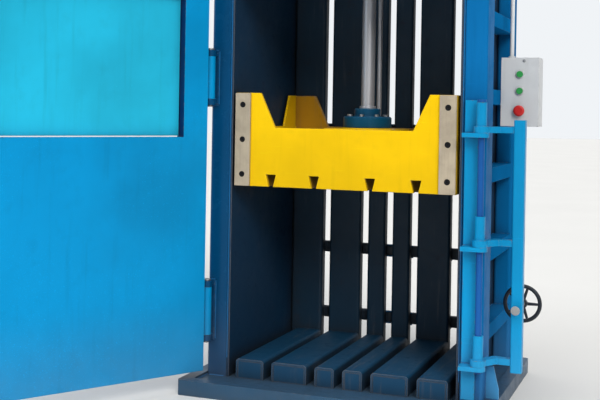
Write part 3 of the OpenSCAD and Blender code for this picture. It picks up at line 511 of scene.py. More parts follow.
class Paint(Enum):
    """The finishes of the baler, by the part that wears them."""

    BASE = Enamel("base_enamel", "base_blue", paint_chip(8, 66, 98), gloss=0.2, grime_and_shade=0.6)
    GUSSET = Enamel("gusset_enamel", "gusset_blue", paint_chip(52, 142, 196))
    # lit and shaded copies of the frame blue: the left post and its hinges are darkened as painted shade, the
    # right post is lightened as painted light
    SHADED_POST = Enamel("left_post_shaded_enamel", "frame_blue", paint_chip(2, 64, 104), gloss=0.22)
    LIT_POST = Enamel("right_post_lit_enamel", "frame_blue", paint_chip(14, 100, 158), gloss=0.34, shine=0.01)
    FRAME = Enamel("frame_enamel", "frame_blue", paint_chip(10, 94, 146), gloss=0.34)
    PIN = Enamel("pin_enamel", "lock_blue", paint_chip(24, 84, 152), gloss=0.4)
    SIDE = Enamel("side_enamel", "frame_blue", paint_chip(12, 100, 156), gloss=0.5, shine=0.0)
    DOOR = Enamel("door_enamel", "door_blue", paint_chip(0, 138, 196), gloss=0.3, scratch=0.7)
    HATCH = Enamel("hatch_enamel", "hatch_cyan", paint_chip(34, 178, 214), gloss=0.28)
    LOCK = Enamel("lock_enamel", "lock_blue", paint_chip(10, 140, 194), gloss=0.28, rub=0.9)
    PLATEN = Enamel("platen_enamel", "platen_yellow", paint_chip(236, 190, 6), 0.3, grime_and_shade=0.35, scratch=0.35)
    # darker worn yellow: scoured paint on the press bars, and painted shade on the platen's rear plate
    PRESS = WornEnamel("press_wear_and_shade_enamel", "platen_yellow", paint_chip(190, 140, 12), worn=0.5)
    FLANGE = Enamel("flange_enamel", "flange_blue", paint_chip(12, 74, 106), gloss=0.34, grime_and_shade=0.8)
    DECK = WornEnamel("deck_enamel", "deck_navy", paint_chip(6, 62, 94), worn=0.42)
    WALL = WornEnamel("wall_enamel", "wall_navy", paint_chip(4, 44, 72), worn=0.2)
    SLAT = WornEnamel("slat_enamel", "wall_navy", paint_chip(5, 42, 64), worn=0.25)
    PAD = WornNylon("pad_nylon", "pad_stone")
    CHROME = HardChrome("rod_chrome_plate", "rod_chrome")
    ZINC = Plating("zinc_plate", "zinc")
    DARK = Plating("oiled_steel", "dark_steel", paint_chip(66, 68, 72), rough=0.4, oil_and_shade=0.6)
    BLACK = Plating("blackened_steel", "dark_steel", paint_chip(40, 40, 42), rough=0.5, oil_and_shade=0.7)
    MOTOR = Enamel("motor_enamel", "motor_grey", paint_chip(112, 120, 128), gloss=0.36, scratch=0.2)
    CABINET = Enamel("cabinet_coat", "box_grey", paint_chip(206, 208, 210), 0.38, grime_and_shade=0.3, scratch=0.2)
    GREEN = Moulded("button_green", "green", paint_chip(40, 150, 70))
    RED = Moulded("button_red", "red", paint_chip(196, 28, 24))
    # dark blue of the strips in the hatch opening: painted shade on its reveal
    SHADE_LINING = Enamel("shade_lining_enamel", "door_blue", paint_chip(0, 40, 92), gloss=0.4, scratch=0.3)
    WHEEL = Enamel("wheel_enamel", "wheel_black", paint_chip(34, 37, 42), gloss=0.34, rub=1.0)


# Pieces


def settle(
    piece: bpy.types.Object, body: str, paint: Paint, replaces: Sequence[str] = (), repaint: bool = True
) -> bpy.types.Object:
    """Dresses a finished piece, hangs it on the empty of the body it rides on and hides the CAD nodes that it
    stands for.

    Args:
        piece: The finished object.
        body: The CAD body it moves with.
        paint: Its finish.
        replaces: The CAD nodes that it stands for.
        repaint: Whether its mesh still needs the material.

    Returns:
        The piece.
    """
    if repaint:
        piece.data.materials.clear()
        piece.data.materials.append(paint.value.material())
    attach(piece, body)
    if replaces:
        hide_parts(*replaces)
    log.info("%s rides on %s, %d faces", piece.name, body, len(piece.data.polygons))
    return piece


def new_piece(name: str, data: bpy.types.ID) -> bpy.types.Object:
    """Puts a mesh, light or camera into the scene as an object at the origin."""
    made = bpy.data.objects.new(name, data)
    bpy.context.scene.collection.objects.link(made)
    return made


def plain_mesh(piece: bpy.types.Object) -> bpy.types.Object:
    """Applies all the modifiers of a piece by taking its evaluated mesh."""
    bpy.context.view_layer.update()
    shown = piece.evaluated_get(bpy.context.evaluated_depsgraph_get())
    mesh = bpy.data.meshes.new_from_object(shown)
    piece.modifiers.clear()
    piece.data = mesh
    return piece


def read(items: bpy.types.bpy_prop_collection, key: str, width: int = 1, kind: type = float) -> np.ndarray:
    """Reads one value of every item of a mesh.

    Args:
        items: The mesh's points, faces or corners.
        key: The value's name.
        width: How many numbers it has.
        kind: The type of its numbers.

    Returns:
        The values, a row for each item where it has more than one number.
    """
    values = np.empty(len(items) * width, dtype=kind)
    items.foreach_get(key, values)
    return values.reshape(-1, width) if width > 1 else values


def along_rows(first: np.ndarray, second: np.ndarray) -> np.ndarray:
    """The dot product of each row with its partner."""
    return np.einsum("ij,ij->i", first, second)


def corner_angles(mesh: bpy.types.Mesh, owner: np.ndarray) -> np.ndarray:
    """Measures the angle of each face at each of its corners.

    Args:
        mesh: The mesh.
        owner: The face of each corner.

    Returns:
        The angles in radians.
    """
    points, at = read(mesh.vertices, "co", 3), read(mesh.loops, "vertex_index", kind=int)
    starts, totals = read(mesh.polygons, "loop_start", kind=int), read(mesh.polygons, "loop_total", kind=int)
    every, first, last = np.arange(len(at)), starts[owner], (starts + totals - 1)[owner]
    ahead = points[at[np.where(every == last, first, every + 1)]] - points[at]
    behind = points[at[np.where(every == first, last, every - 1)]] - points[at]
    spans = np.linalg.norm(ahead, axis=1) * np.linalg.norm(behind, axis=1)
    return np.arccos(np.clip(along_rows(ahead, behind) / np.maximum(spans, 1e-12), -1, 1))


def corner_pairs(at: np.ndarray) -> tuple[np.ndarray, np.ndarray]:
    """Pairs each corner with every corner that shares its point, as two rows of corners."""
    order = np.argsort(at, kind="stable")
    low, high = (np.searchsorted(at[order], at[order], side) for side in ("left", "right"))
    near = high - low
    other = np.arange(near.sum()) - np.repeat(np.cumsum(near) - near, near) + np.repeat(low, near)
    return order[np.repeat(np.arange(len(at)), near)], order[other]


def shade_corners(mesh: bpy.types.Mesh) -> None:
    """Shades a mesh smoothly across its curves and plainly on its flats, however it is cut into faces.

    Each corner's normal is the mean of the faces round its point that lean like its own, by area and angle.

    Args:
        mesh: The mesh to shade.
    """
    ways, areas = read(mesh.polygons, "normal", 3), read(mesh.polygons, "area")
    owner = np.repeat(np.arange(len(areas)), read(mesh.polygons, "loop_total", kind=int))
    one, other = corner_pairs(read(mesh.loops, "vertex_index", kind=int))
    alike = along_rows(ways[owner[one]], ways[owner[other]]) > math.cos(math.radians(SHARP_ANGLE))
    one, other = one[alike], other[alike]
    pull = (areas[owner] * corner_angles(mesh, owner))[other]
    mean = [np.bincount(one, pull * ways[owner[other], axis], len(owner)) for axis in range(3)]
    mean = np.stack(mean, axis=1)
    size = np.linalg.norm(mean, axis=1, keepdims=True)
    mean = np.where(size > 1e-15, mean / np.maximum(size, 1e-15), ways[owner])
    mesh.polygons.foreach_set("use_smooth", [True] * len(areas))
    mesh.normals_split_custom_set(mean.tolist())


def eased(piece: bpy.types.Object, width: float, steps: int = 2) -> bpy.types.Object:
    """Rounds the sharp edges of a piece and shades its curves smoothly.

    Args:
        piece: The object to round.
        width: The width of the rounding in metres, or 0 for none.
        steps: Faces across the rounding.

    Returns:
        The piece with a plain mesh.
    """
    if width > 0:
        cut = piece.modifiers.new("ease", "BEVEL")
        cut.width = width
        cut.segments = steps
        cut.limit_method = "ANGLE"
        cut.angle_limit = math.radians(SHARP_ANGLE)
        cut.miter_outer = "MITER_ARC"
        plain_mesh(piece)
    shade_corners(piece.data)
    return piece


def baked(mesh: bmesh.types.BMesh, name: str) -> bpy.types.Mesh:
    """Turns a mesh in the making into a finished one and lets the first go."""
    data = bpy.data.meshes.new(name)
    mesh.to_mesh(data)
    mesh.free()
    return data


def ring_points(centre: Flat, radius: float, height: float, count: int, start: float = 0.0) -> list[Point]:
    """Spreads points evenly round an upright axis, the first at the angle start in radians."""
    angles = [start + ROUND * k / count for k in range(count)]
    return [(centre[0] + radius * math.cos(a), centre[1] + radius * math.sin(a), height) for a in angles]


class Stock:
    """Steel in the making: a mesh to which a fitter's shapes are added."""

    def __init__(self) -> None:
        """Starts with nothing."""
        self.mesh = bmesh.new()

    def block(self, low: Point, high: Point) -> Stock:
        """Adds a block between two opposite corners."""
        made = bmesh.ops.create_cube(self.mesh, size=1.0)["verts"]
        for vert in made:
            vert.co = Vector(low[i] if vert.co[i] < 0 else high[i] for i in range(3))
        return self

    def plate(self, outline: Sequence[Flat], start: float, end: float) -> Stock:
        """Adds an upright plate across Y, cut to an outline.

        Args:
            outline: X and Z of its corners.
            start: Y of one face.
            end: Y of the other face.

        Returns:
            This stock.
        """
        near, far = ([self.mesh.verts.new((x, y, z)) for x, z in outline] for y in (start, end))
        self.mesh.faces.new(near)
        self.mesh.faces.new(list(reversed(far)))
        for i in range(len(near)):
            j = (i + 1) % len(near)
            self.mesh.faces.new([near[j], near[i], far[i], far[j]])
        return self

    def turned(self, profile: Sequence[Flat], centre: Flat, facets: int = 64, ring: bool = False) -> Stock:
        """Adds a shape turned about an upright axis.

        Args:
            profile: Radius and height of each point. A radius of 0 is a pole.
            centre: Plan position of the axis.
            facets: Faces round the axis.
            ring: Whether the profile closes on itself, as for a ring.

        Returns:
            This stock.
        """
        rows = []
        for radius, height in profile:
            if radius <= 0:
                rows.append([self.mesh.verts.new((centre[0], centre[1], height))])
                continue
            rows.append([self.mesh.verts.new(spot) for spot in ring_points(centre, radius, height, facets)])
        return self.skin(rows + rows[:1] if ring else rows, facets)

    def skin(self, rows: Sequence[Sequence[bmesh.types.BMVert]], facets: int) -> Stock:
        """Closes the wall between each ring of points and the next, of which one may be a pole."""
        for lower, upper in zip(rows, rows[1:]):
            for k in range(facets):
                n = (k + 1) % facets
                around = [row[i % len(row)] for row, i in ((lower, k), (lower, n), (upper, n), (upper, k))]
                unique = list(dict.fromkeys(around))
                if len(unique) > 2:
                    self.mesh.faces.new(unique)
        return self

    def pierced(
        self, outer: Sequence[Flat], inner: Sequence[Flat], depths: Flat, seams: Sequence[int] = ()
    ) -> None:
        """Adds an upright plate between an outline and its hole.

        Args:
            outer: X and Z of the outline's corners.
            inner: X and Z of as many corners of the hole.
            depths: Y of the plate's two faces.
            seams: The outline's edges that join on to more plate and get no face.
        """
        front, front_hole, back, back_hole = (
            [self.mesh.verts.new((x, y, z)) for x, z in ring] for y in depths for ring in (outer, inner))
        for i in range(len(front)):
            j = (i + 1) % len(front)
            self.mesh.faces.new([front[i], front[j], front_hole[j], front_hole[i]])
            self.mesh.faces.new([back[j], back[i], back_hole[i], back_hole[j]])
            if i not in seams:
                self.mesh.faces.new([front[j], front[i], back[i], back[j]])
            self.mesh.faces.new([front_hole[i], front_hole[j], back_hole[j], back_hole[i]])

    def window(self, low: Point, high: Point, hole_low: Flat, hole_high: Flat) -> Stock:
        """Adds an upright plate across Y with a rectangular hole.

        Args:
            low: The plate's lowest corner.
            high: Its highest corner.
            hole_low: X and Z of the hole's lowest corner.
            hole_high: X and Z of its highest corner.

        Returns:
            This stock.
        """
        outer = corners((low[0], low[2]), (high[0], high[2]))
        self.pierced(outer, corners(hole_low, hole_high), (low[1], high[1]))
        return self

    def bored(self, low: Point, high: Point, holes: Sequence[Flat], radius: float, facets: int = 24) -> Stock:
        """Adds an upright plate across Y with a column of round holes.

        Args:
            low: The plate's lowest corner.
            high: Its highest corner.
            holes: X and Z of each hole, from below.
            radius: Radius of the holes.
            facets: Faces round each hole, a multiple of 4.

        Returns:
            This stock.
        """
        seams = [low[2]] + [(a[1] + b[1]) / 2 for a, b in zip(holes, holes[1:])] + [high[2]]
        side = facets // 4
        for k, (x, z) in enumerate(holes):
            around = corners((low[0], seams[k]), (high[0], seams[k + 1]))
            outer, inner = [], []
            for c in range(4):
                (ax, az), (bx, bz) = around[c], around[(c + 1) % 4]
                for i in range(side):
                    outer.append((ax + (bx - ax) * i / side, az + (bz - az) * i / side))
                    angle = math.radians(225 + 90 * c + 90 * i / side)
                    inner.append((x + radius * math.cos(angle), z + radius * math.sin(angle)))
            below = range(side) if k > 0 else ()
            above = range(2 * side, 3 * side) if k < len(holes) - 1 else ()
            self.pierced(outer, inner, (low[1], high[1]), (*below, *above))
        bmesh.ops.remove_doubles(self.mesh, verts=self.mesh.verts, dist=1e-6)
        return self

    def thread(
        self, radius: float, depth: float, pitch: float, start: float, end: float, facets: int = 20
    ) -> Stock:
        """Adds an upright screw thread about the origin's axis.

        Args:
            radius: Radius over the crests.
            depth: Depth of the thread.
            pitch: Rise of one turn.
            start: Height of the lower end.
            end: Height of the upper end.
            facets: Faces round the axis.

        Returns:
            This stock.
        """
        rows = []
        count = int((end - start) / pitch * 6)
        for i in range(count + 1):
            height = start + (end - start) * i / count
            row = []
            for k in range(facets):
                turn = (height / pitch - k / facets) % 1.0
                reach = radius - depth * abs(2 * turn - 1)
                angle = ROUND * k / facets
                row.append(self.mesh.verts.new((reach * math.cos(angle), reach * math.sin(angle), height)))
            rows.append(row)
        self.skin(rows, facets)
        self.mesh.faces.new(list(reversed(rows[0])))
        self.mesh.faces.new(rows[-1])
        return self

    def add(self, other: Stock, matrix: Matrix | None = None) -> Stock:
        """Takes in another stock, moved by a matrix."""
        if matrix is not None:
            other.moved(matrix)
        data = baked(other.mesh, "part")
        self.mesh.from_mesh(data)
        bpy.data.meshes.remove(data)
        return self

    def moved(self, matrix: Matrix) -> Stock:
        """Moves all that is in the stock."""
        self.mesh.transform(matrix)
        return self

    def done(self, name: str, width: float = 0.0015, steps: int = 2) -> bpy.types.Object:
        """Closes the mesh and makes it a piece with eased edges."""
        bmesh.ops.recalc_face_normals(self.mesh, faces=self.mesh.faces)
        return eased(new_piece(name, baked(self.mesh, name)), width, steps)


def astray(piece: bpy.types.Object, source: BVHTree, reach: float) -> bool:
    """Tells whether rounding has spoilt a piece.

    Args:
        piece: The rounded piece.
        source: The surface that it was rounded from.
        reach: How far a point may lie from that surface.

    Returns:
        True if a point lies further away, a face is folded over, or a large face is shaded as if it leaned.
    """
    mesh = piece.data
    if any(source.find_nearest(vert.co, reach)[0] is None for vert in mesh.vertices):
        return True
    areas, ways = read(mesh.polygons, "area"), read(mesh.polygons, "normal", 3)
    owner = np.repeat(np.arange(len(areas)), read(mesh.polygons, "loop_total", kind=int))
    lean = along_rows(read(mesh.corner_normals, "vector", 3), ways[owner])
    mesh.calc_loop_triangles()
    cuts = mesh.loop_triangles
    fold = along_rows(read(cuts, "normal", 3), ways[read(cuts, "polygon_index", kind=int)])
    leaning = (lean < LEANING[0]) & (areas[owner] > LEANING[1])
    folded = (fold < FOLDED[0]) & (read(cuts, "area") > FOLDED[1])
    return bool(np.any(leaning) or np.any(folded))


def rounded_copy(node: str, name: str, width: float) -> bpy.types.Object:
    """Copies a CAD node, joins its loose triangles and eases its edges, as far as they allow it.

    Args:
        node: The CAD node.
        name: The new piece's name.
        width: The width of the rounding.

    Returns:
        The copy.
    """
    for ease in (width, width / 2, 0.0):
        mesh = bmesh.new()
        mesh.from_mesh(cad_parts[node].data)
        bmesh.ops.remove_doubles(mesh, verts=mesh.verts, dist=JOIN_REACH)
        source = BVHTree.FromBMesh(mesh)
        if ease > 0:
            limit = math.radians(FLAT_ANGLE)
            bmesh.ops.dissolve_limit(mesh, angle_limit=limit, verts=mesh.verts, edges=mesh.edges)
        piece = eased(new_piece(name, baked(mesh, name)), ease)
        if ease == 0 or not astray(piece, source, ease * STRAY_SHARE):
            break
        bpy.data.objects.remove(piece)
    log.info("%s eased by %.1f mm", name, ease * 1000)
    piece.name = name
    return piece


# Geometry nodes


class Recipe(Nodes):
    """A Geometry Nodes tree with named sizes that grows a seed into a piece."""

    def __init__(self, name: str, paint: Paint, sizes: dict[str, float]) -> None:
        """Makes the tree with a seed geometry and one named input for each size."""
        tree = bpy.data.node_groups.new(name, "GeometryNodeTree")
        tree.interface.new_socket("Seed", in_out="INPUT", socket_type="NodeSocketGeometry")
        for key, value in sizes.items():
            socket = tree.interface.new_socket(key, in_out="INPUT", socket_type="NodeSocketFloat")
            socket.default_value = value
        tree.interface.new_socket("Grown", in_out="OUTPUT", socket_type="NodeSocketGeometry")
        super().__init__(tree)
        self.paint = paint
        self.entry = self.node("NodeGroupInput")

    def size(self, name: str) -> Signal:
        """The named input as a signal."""
        return Signal(self, self.entry.outputs[name])

    def swept(self, line: Signal, section: Signal, scale: Operand = 1.0) -> Signal:
        """Sweeps a closed section along a line, with its ends filled."""
        sweep = {"Curve": line, "Profile Curve": section, "Fill Caps": True, "Scale": scale}
        return self.take("GeometryNodeCurveToMesh", 0, {}, sweep)

    def stood(self, points: Signal, shape: Signal, axis: str, way: Signal) -> Signal:
        """Stands a shape on each point, with one of its axes along a way."""
        turn = self.take("FunctionNodeAlignRotationToVector", 0, {"axis": axis}, {"Vector": way})
        stand = {"Points": points, "Instance": shape, "Rotation": turn}
        return self.take("GeometryNodeInstanceOnPoints", 0, {}, stand)

    def finish(self, geometry: Signal) -> None:
        """Ends the tree in real geometry with its material."""
        real = self.take("GeometryNodeRealizeInstances", 0, {}, {0: geometry})
        finish = {0: real, "Material": self.paint.value.material()}
        self.node("NodeGroupOutput", {}, {0: self.take("GeometryNodeSetMaterial", 0, {}, finish)})

    def grow(
        self, name: str, seed: bpy.types.Mesh, body: str, sizes: dict[str, float] | None = None,
        replaces: Sequence[str] = (), width: float = 0.0,
    ) -> None:
        """Runs the tree on a seed and settles the plain mesh as a piece.

        Args:
            name: The piece's name.
            seed: The points or lines that it grows on.
            body: The CAD body it moves with.
            sizes: The sizes that differ from the tree's own.
            replaces: The CAD nodes that it stands for.
            width: The width of the rounding on its edges, or 0 to leave them as they grew.
        """
        piece = new_piece(name, seed)
        step = piece.modifiers.new("grow", "NODES")
        step.node_group = self.tree
        for item in self.tree.interface.items_tree:
            if item.in_out == "INPUT" and item.name in (sizes or {}):
                step[item.identifier] = float(sizes[item.name])
        plain_mesh(piece)
        settle(eased(piece, width) if width > 0 else piece, body, self.paint, replaces, repaint=False)


def line_seed(name: str, lines: Sequence[Sequence[Point]]) -> bpy.types.Mesh:
    """A mesh of open lines for a recipe to follow."""
    points, edges = [], []
    for line in lines:
        edges += [(len(points) + k, len(points) + k + 1) for k in range(len(line) - 1)]
        points += [tuple(p) for p in line]
    mesh = bpy.data.meshes.new(name)
    mesh.from_pydata(points, edges, [])
    return mesh


def point_seed(name: str, points: Sequence[Point], facing: Sequence[Point]) -> bpy.types.Mesh:
    """A mesh of loose points that each carry the way they face."""
    mesh = bpy.data.meshes.new(name)
    mesh.from_pydata([tuple(p) for p in points], [], [])
    ways = mesh.attributes.new("facing", "FLOAT_VECTOR", "POINT")
    ways.data.foreach_set("vector", [c for way in facing for c in way])
    return mesh


class WeldBead(Recipe):
    """Rippled weld bead that follows lines."""

    def __init__(self, paint: Paint) -> None:
        """Builds the tree: a resampled line, swelling with each ripple, swept with a small circle."""
        super().__init__("weld_bead_" + paint.name.lower(), paint, {"Radius": 0.0042, "Step": 0.0036})
        line = self.take("GeometryNodeMeshToCurve", 0, {}, {0: self.size("Seed")})
        spacing = {0: line, "Length": self.size("Step")}
        dense = self.take("GeometryNodeResampleCurve", 0, {"mode": "LENGTH"}, spacing)
        index = self.take("GeometryNodeInputIndex", 0, {}, {})
        swell = 1.0 - 0.28 * (index / 3.0).fraction()
        shaped = self.take("GeometryNodeSetCurveRadius", 0, {}, {0: dense, "Radius": swell})
        round_bar = {"Resolution": 6, "Radius": self.size("Radius")}
        ring = self.take("GeometryNodeCurvePrimitiveCircle", 0, {}, round_bar)
        self.finish(self.swept(shaped, ring, swell))


class HexScrew(Recipe):
    """Hexagon heads on washers, one at each seed point, facing the way that the point says."""

    def __init__(self, name: str, paint: Paint, head: float, rise: float, washer: float) -> None:
        """Builds the tree.

        Args:
            name: The tree's name.
            paint: The screws' finish.
            head: Radius of the head.
            rise: Height of the head.
            washer: Radius of the washer.
        """
        super().__init__(name, paint, {"Head": head, "Rise": rise, "Washer": washer})
        tall, wide = self.size("Rise"), self.size("Head")
        disc = self.cylinder(28, self.size("Washer"), tall * 0.22, tall * 0.11)
        hexagon = self.cylinder(6, wide, tall * 0.78, tall * 0.61)
        cone = {"Vertices": 18, "Radius Bottom": wide * 0.84, "Radius Top": wide * 0.7, "Depth": tall * 0.08}
        crown = self.raise_by(self.take("GeometryNodeMeshCone", 0, {}, cone), tall)
        screw = self.take("GeometryNodeJoinGeometry", 0, {}, {0: disc})
        for shape in (hexagon, crown):
            self.tree.links.new(shape.socket, screw.socket.node.inputs[0])
        vector = {"data_type": "FLOAT_VECTOR"}
        way = self.take("GeometryNodeInputNamedAttribute", 0, vector, {"Name": "facing"})
        self.finish(self.stood(self.size("Seed"), screw, "Z", way))

    def raise_by(self, shape: Signal, height: Operand) -> Signal:
        """Lifts a shape along its own axis."""
        up = self.take("ShaderNodeCombineXYZ", 0, {}, {2: height})
        return self.take("GeometryNodeTransform", 0, {}, {0: shape, "Translation": up})

    def cylinder(self, sides: int, radius: Operand, depth: Operand, height: Operand) -> Signal:
        """Adds an upright cylinder with its middle at a height."""
        shape = {"Vertices": sides, "Radius": radius, "Depth": depth}
        return self.raise_by(self.take("GeometryNodeMeshCylinder", 0, {"fill_type": "NGON"}, shape), height)


class Fins(Recipe):
    """Cooling fins that stand round a motor's body."""

    def __init__(self) -> None:
        """Builds the tree: a ring of points, each with a thin block that faces outward."""
        sizes = {"Count": 30.0, "Radius": 0.078, "Deep": 0.020, "Thick": 0.0035, "Tall": 0.18}
        super().__init__("motor_fins", Paint.MOTOR, sizes)
        circle = {"Vertices": self.size("Count"), "Radius": self.size("Radius")}
        ring = self.take("GeometryNodeMeshCircle", 0, {}, circle)
        lengths = {i: self.size(key) for i, key in enumerate(("Deep", "Thick", "Tall"))}
        box = self.take("ShaderNodeCombineXYZ", 0, {}, lengths)
        fin = self.take("GeometryNodeMeshCube", 0, {}, {"Size": box})
        spot = self.take("GeometryNodeInputPosition", 0, {}, {})
        seats = {"Points": self.size("Seed"), "Instance": self.stood(ring, fin, "X", spot)}
        self.finish(self.take("GeometryNodeInstanceOnPoints", 0, {}, seats))


class FoldedPlate(Recipe):
    """Plate folded along each seed line, as deck bars, slats and channels are.

    The seed is the middle of the plate's section. The bar swept along it is as long as the channel.
    """

    def __init__(self, name: str, paint: Paint) -> None:
        """Builds the tree: corners of the line get a bend, then a flat bar is swept along it."""
        super().__init__(name, paint, {"Bend": 0.012, "Wide": 0.01, "Deep": 0.8})
        line = self.take("GeometryNodeMeshToCurve", 0, {}, {0: self.size("Seed")})
        fillet = {0: line, "Count": 4, "Radius": self.size("Bend")}
        bent = self.take("GeometryNodeFilletCurve", 0, {"mode": "POLY"}, fillet)
        section = {"Width": self.size("Wide"), "Height": self.size("Deep")}
        bar = self.take("GeometryNodeCurvePrimitiveQuadrilateral", 0, {}, section)
        self.finish(self.swept(bent, bar))


# Sub-assemblies


def middle(node: str) -> Flat:
    """Plan position of the middle of a CAD node."""
    low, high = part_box(node)
    return (low.x + high.x) / 2, (low.y + high.y) / 2


def numbered(stem: str, count: int) -> list[str]:
    """The names of numbered nodes, from 1."""
    return [f"{stem}_{k}" for k in range(1, count + 1)]


@dataclass(frozen=True)
class Platen:
    """The pressing platen: eared end plates, box, pads, screws, rod flange and rods."""

    half_width: float = 0.540
    low: float = 0.982
    inner: float = PLATEN_TOP
    top: float = 1.429
    ear: float = 0.126
    slope: float = 0.076
    front: float = -0.375
    back: float = 0.413
    thick: float = 0.020
    notch_low: float = 0.022
    notch_top: float = 0.050
    notch_tall: float = 0.058
    twine: tuple[float, ...] = (-0.355, -0.137, 0.137, 0.355)
    pad_width: float = 0.078
    screw_head: float = 0.0135
    rod: float = 0.033
    gauge: Flat = (0.015, 0.165)
    screw_ring: float = 0.096
    flange_tall: float = 0.060
    flange_profile: tuple[Flat, ...] = (
        (0, 0), (0.114, 0), (0.120, 0.006), (0.120, 0.054), (0.114, 0.060), (0.069, 0.060),
        (0.065, 0.064), (0.065, 0.095), (0.060, 0.100), (0, 0.100))
    collar: float = 0.041
    collar_span: Flat = (0.1, 0.112)

    def outline(self) -> list[Flat]:
        """The end plates' outline with its ears and dovetail notches."""
        half, low = self.half_width, self.low
        points: list[Flat] = [(-half, low)]
        mouth, root, head = self.notch_low / 2, self.notch_top / 2, low + self.notch_tall
        for x in self.twine:
            points += [(x - mouth, low), (x - root, head), (x + root, head), (x + mouth, low)]
        inside = half - self.ear
        points += [
            (half, low), (half, self.top), (inside, self.top), (inside - self.slope, self.inner),
            (-inside + self.slope, self.inner), (-inside, self.top), (-half, self.top),
        ]
        return points

    def end_plate(self, name: str, node: str, start: float, paint: Paint) -> None:
        """Builds one eared plate from the Y of its front face."""
        stock = Stock().plate(self.outline(), start, start + self.thick)
        settle(stock.done(name, 0.003, 3), "platen", paint, [node])

    def pads_and_screws(self) -> None:
        """Builds the nylon pads with the holes for their sunk screws."""
        low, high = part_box("wear_pads")
        heights = [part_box("wear_screws")[i].z for i in (0, 1)]
        lowest, highest = heights[0] + self.screw_head, heights[1] - self.screw_head
        stock = Stock()
        for side in (-1, 1):
            near, far = sorted((side * (self.half_width - self.pad_width), side * high.x))
            column = side * (self.half_width - self.pad_width / 2)
            holes = [(column, lowest + (highest - lowest) * k / 2) for k in range(3)]
            bore = self.screw_head + 0.0005
            stock.add(Stock().bored((near, low.y, low.z), (far, high.y, high.z), holes, bore))
        settle(stock.done("pads", 0.0016, 2), "platen", Paint.PAD, ["wear_pads"])

    def flange(self) -> None:
        """Builds the disc and boss on the platen with their ring of screws."""
        z = self.inner
        disc = Stock().turned([(radius, z + rise) for radius, rise in self.flange_profile], ROD_SPOT, 72)
        settle(disc.done("flange_disc", 0.0), "platen", Paint.FLANGE, ["rod_flange"])
        spots = ring_points(ROD_SPOT, self.screw_ring, z + self.flange_tall, 8)
        screws = HexScrew("flange_screw", Paint.ZINC, head=0.0105, rise=0.0098, washer=0.0135)
        screws.grow("flange_screws", point_seed("flange_ring", spots, [UP] * len(spots)), "platen")

    def rods(self) -> None:
        """Builds the chromed piston rod and the slim rod beside it."""
        z, top, rod, collar = self.inner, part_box("piston_rod")[1].z, self.rod, self.collar
        foot, head = (z + rise for rise in self.collar_span)
        thick = Stock().turned(
            [(0, z), (rod, z), (rod, foot), (collar, foot), (collar, head - 0.003), (collar - 0.003, head),
             (rod, head), (rod, top), (0, top)], ROD_SPOT, 72)
        settle(thick.done("press_rod", 0.0), "platen", Paint.CHROME, ["piston_rod"])
        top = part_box("stroke_rod")[1].z
        slim = Stock().turned(
            [(0, z), (0.022, z), (0.022, z + 0.022), (0.019, z + 0.025), (0.012, z + 0.025),
             (0.012, top - 0.004), (0.009, top), (0, top)], self.gauge, 36)
        settle(slim.done("gauge_rod", 0.0), "platen", Paint.CHROME, ["stroke_rod"])

    def build(self) -> None:
        """Builds the platen's pieces in order."""
        self.end_plate("platen_face", "platen_front", self.front, Paint.PLATEN)
        # the rear plate takes the darker worn yellow as painted shade
        self.end_plate("platen_tail", "platen_rear", self.back - self.thick, Paint.PRESS)
        settle(rounded_copy("platen_box", "platen_body", 0.002), "platen", Paint.PLATEN, ["platen_box"])
        settle(rounded_copy("press_bars", "press_grid", 0.003), "platen", Paint.PRESS, ["press_bars"])
        settle(rounded_copy("wear_screws", "pad_screws", 0.0008), "platen", Paint.BLACK, ["wear_screws"])
        self.pads_and_screws()
        self.flange()
        self.rods()


def lying(spot: Point) -> Matrix:
    """Takes an upright shape about the origin to a spot, with its axis along -Y."""
    return Matrix.Translation(spot) @ Matrix.Rotation(math.radians(90), 4, "X")


def stitches(start: Point, end: Point, run: float = 0.06, pitch: float = 0.16) -> Lines:
    """Short welds set along a line.

    Args:
        start: Where the line starts.
        end: Where it ends.
        run: Length of each weld.
        pitch: Distance between two welds.

    Returns:
        One short line for each weld.
    """
    first, last = Vector(start), Vector(end)
    length = (last - first).length
    ahead = (last - first) / length
    count = max(1, round((length - run) / pitch) + 1)
    gap = (length - run) / max(1, count - 1)
    return [[tuple(first + ahead * k * gap), tuple(first + ahead * (k * gap + run))] for k in range(count)]


def ring_line(centre: Flat, radius: float, height: float, sides: int = 36) -> list[Point]:
    """A closed round line at one height."""
    points = ring_points(centre, radius, height, sides)
    return points + points[:1]


def corners(low: Flat, high: Flat) -> list[Flat]:
    """The corners of a rectangle, in order round it."""
    return [low, (high[0], low[1]), high, (low[0], high[1])]


def across(xs: Flat, y: float, z: float) -> list[Point]:
    """A level line along X."""
    return [(x, y, z) for x in xs]


def upright(x: float, y: float, zs: Flat) -> list[Point]:
    """A line straight up."""
    return [(x, y, z) for z in zs]


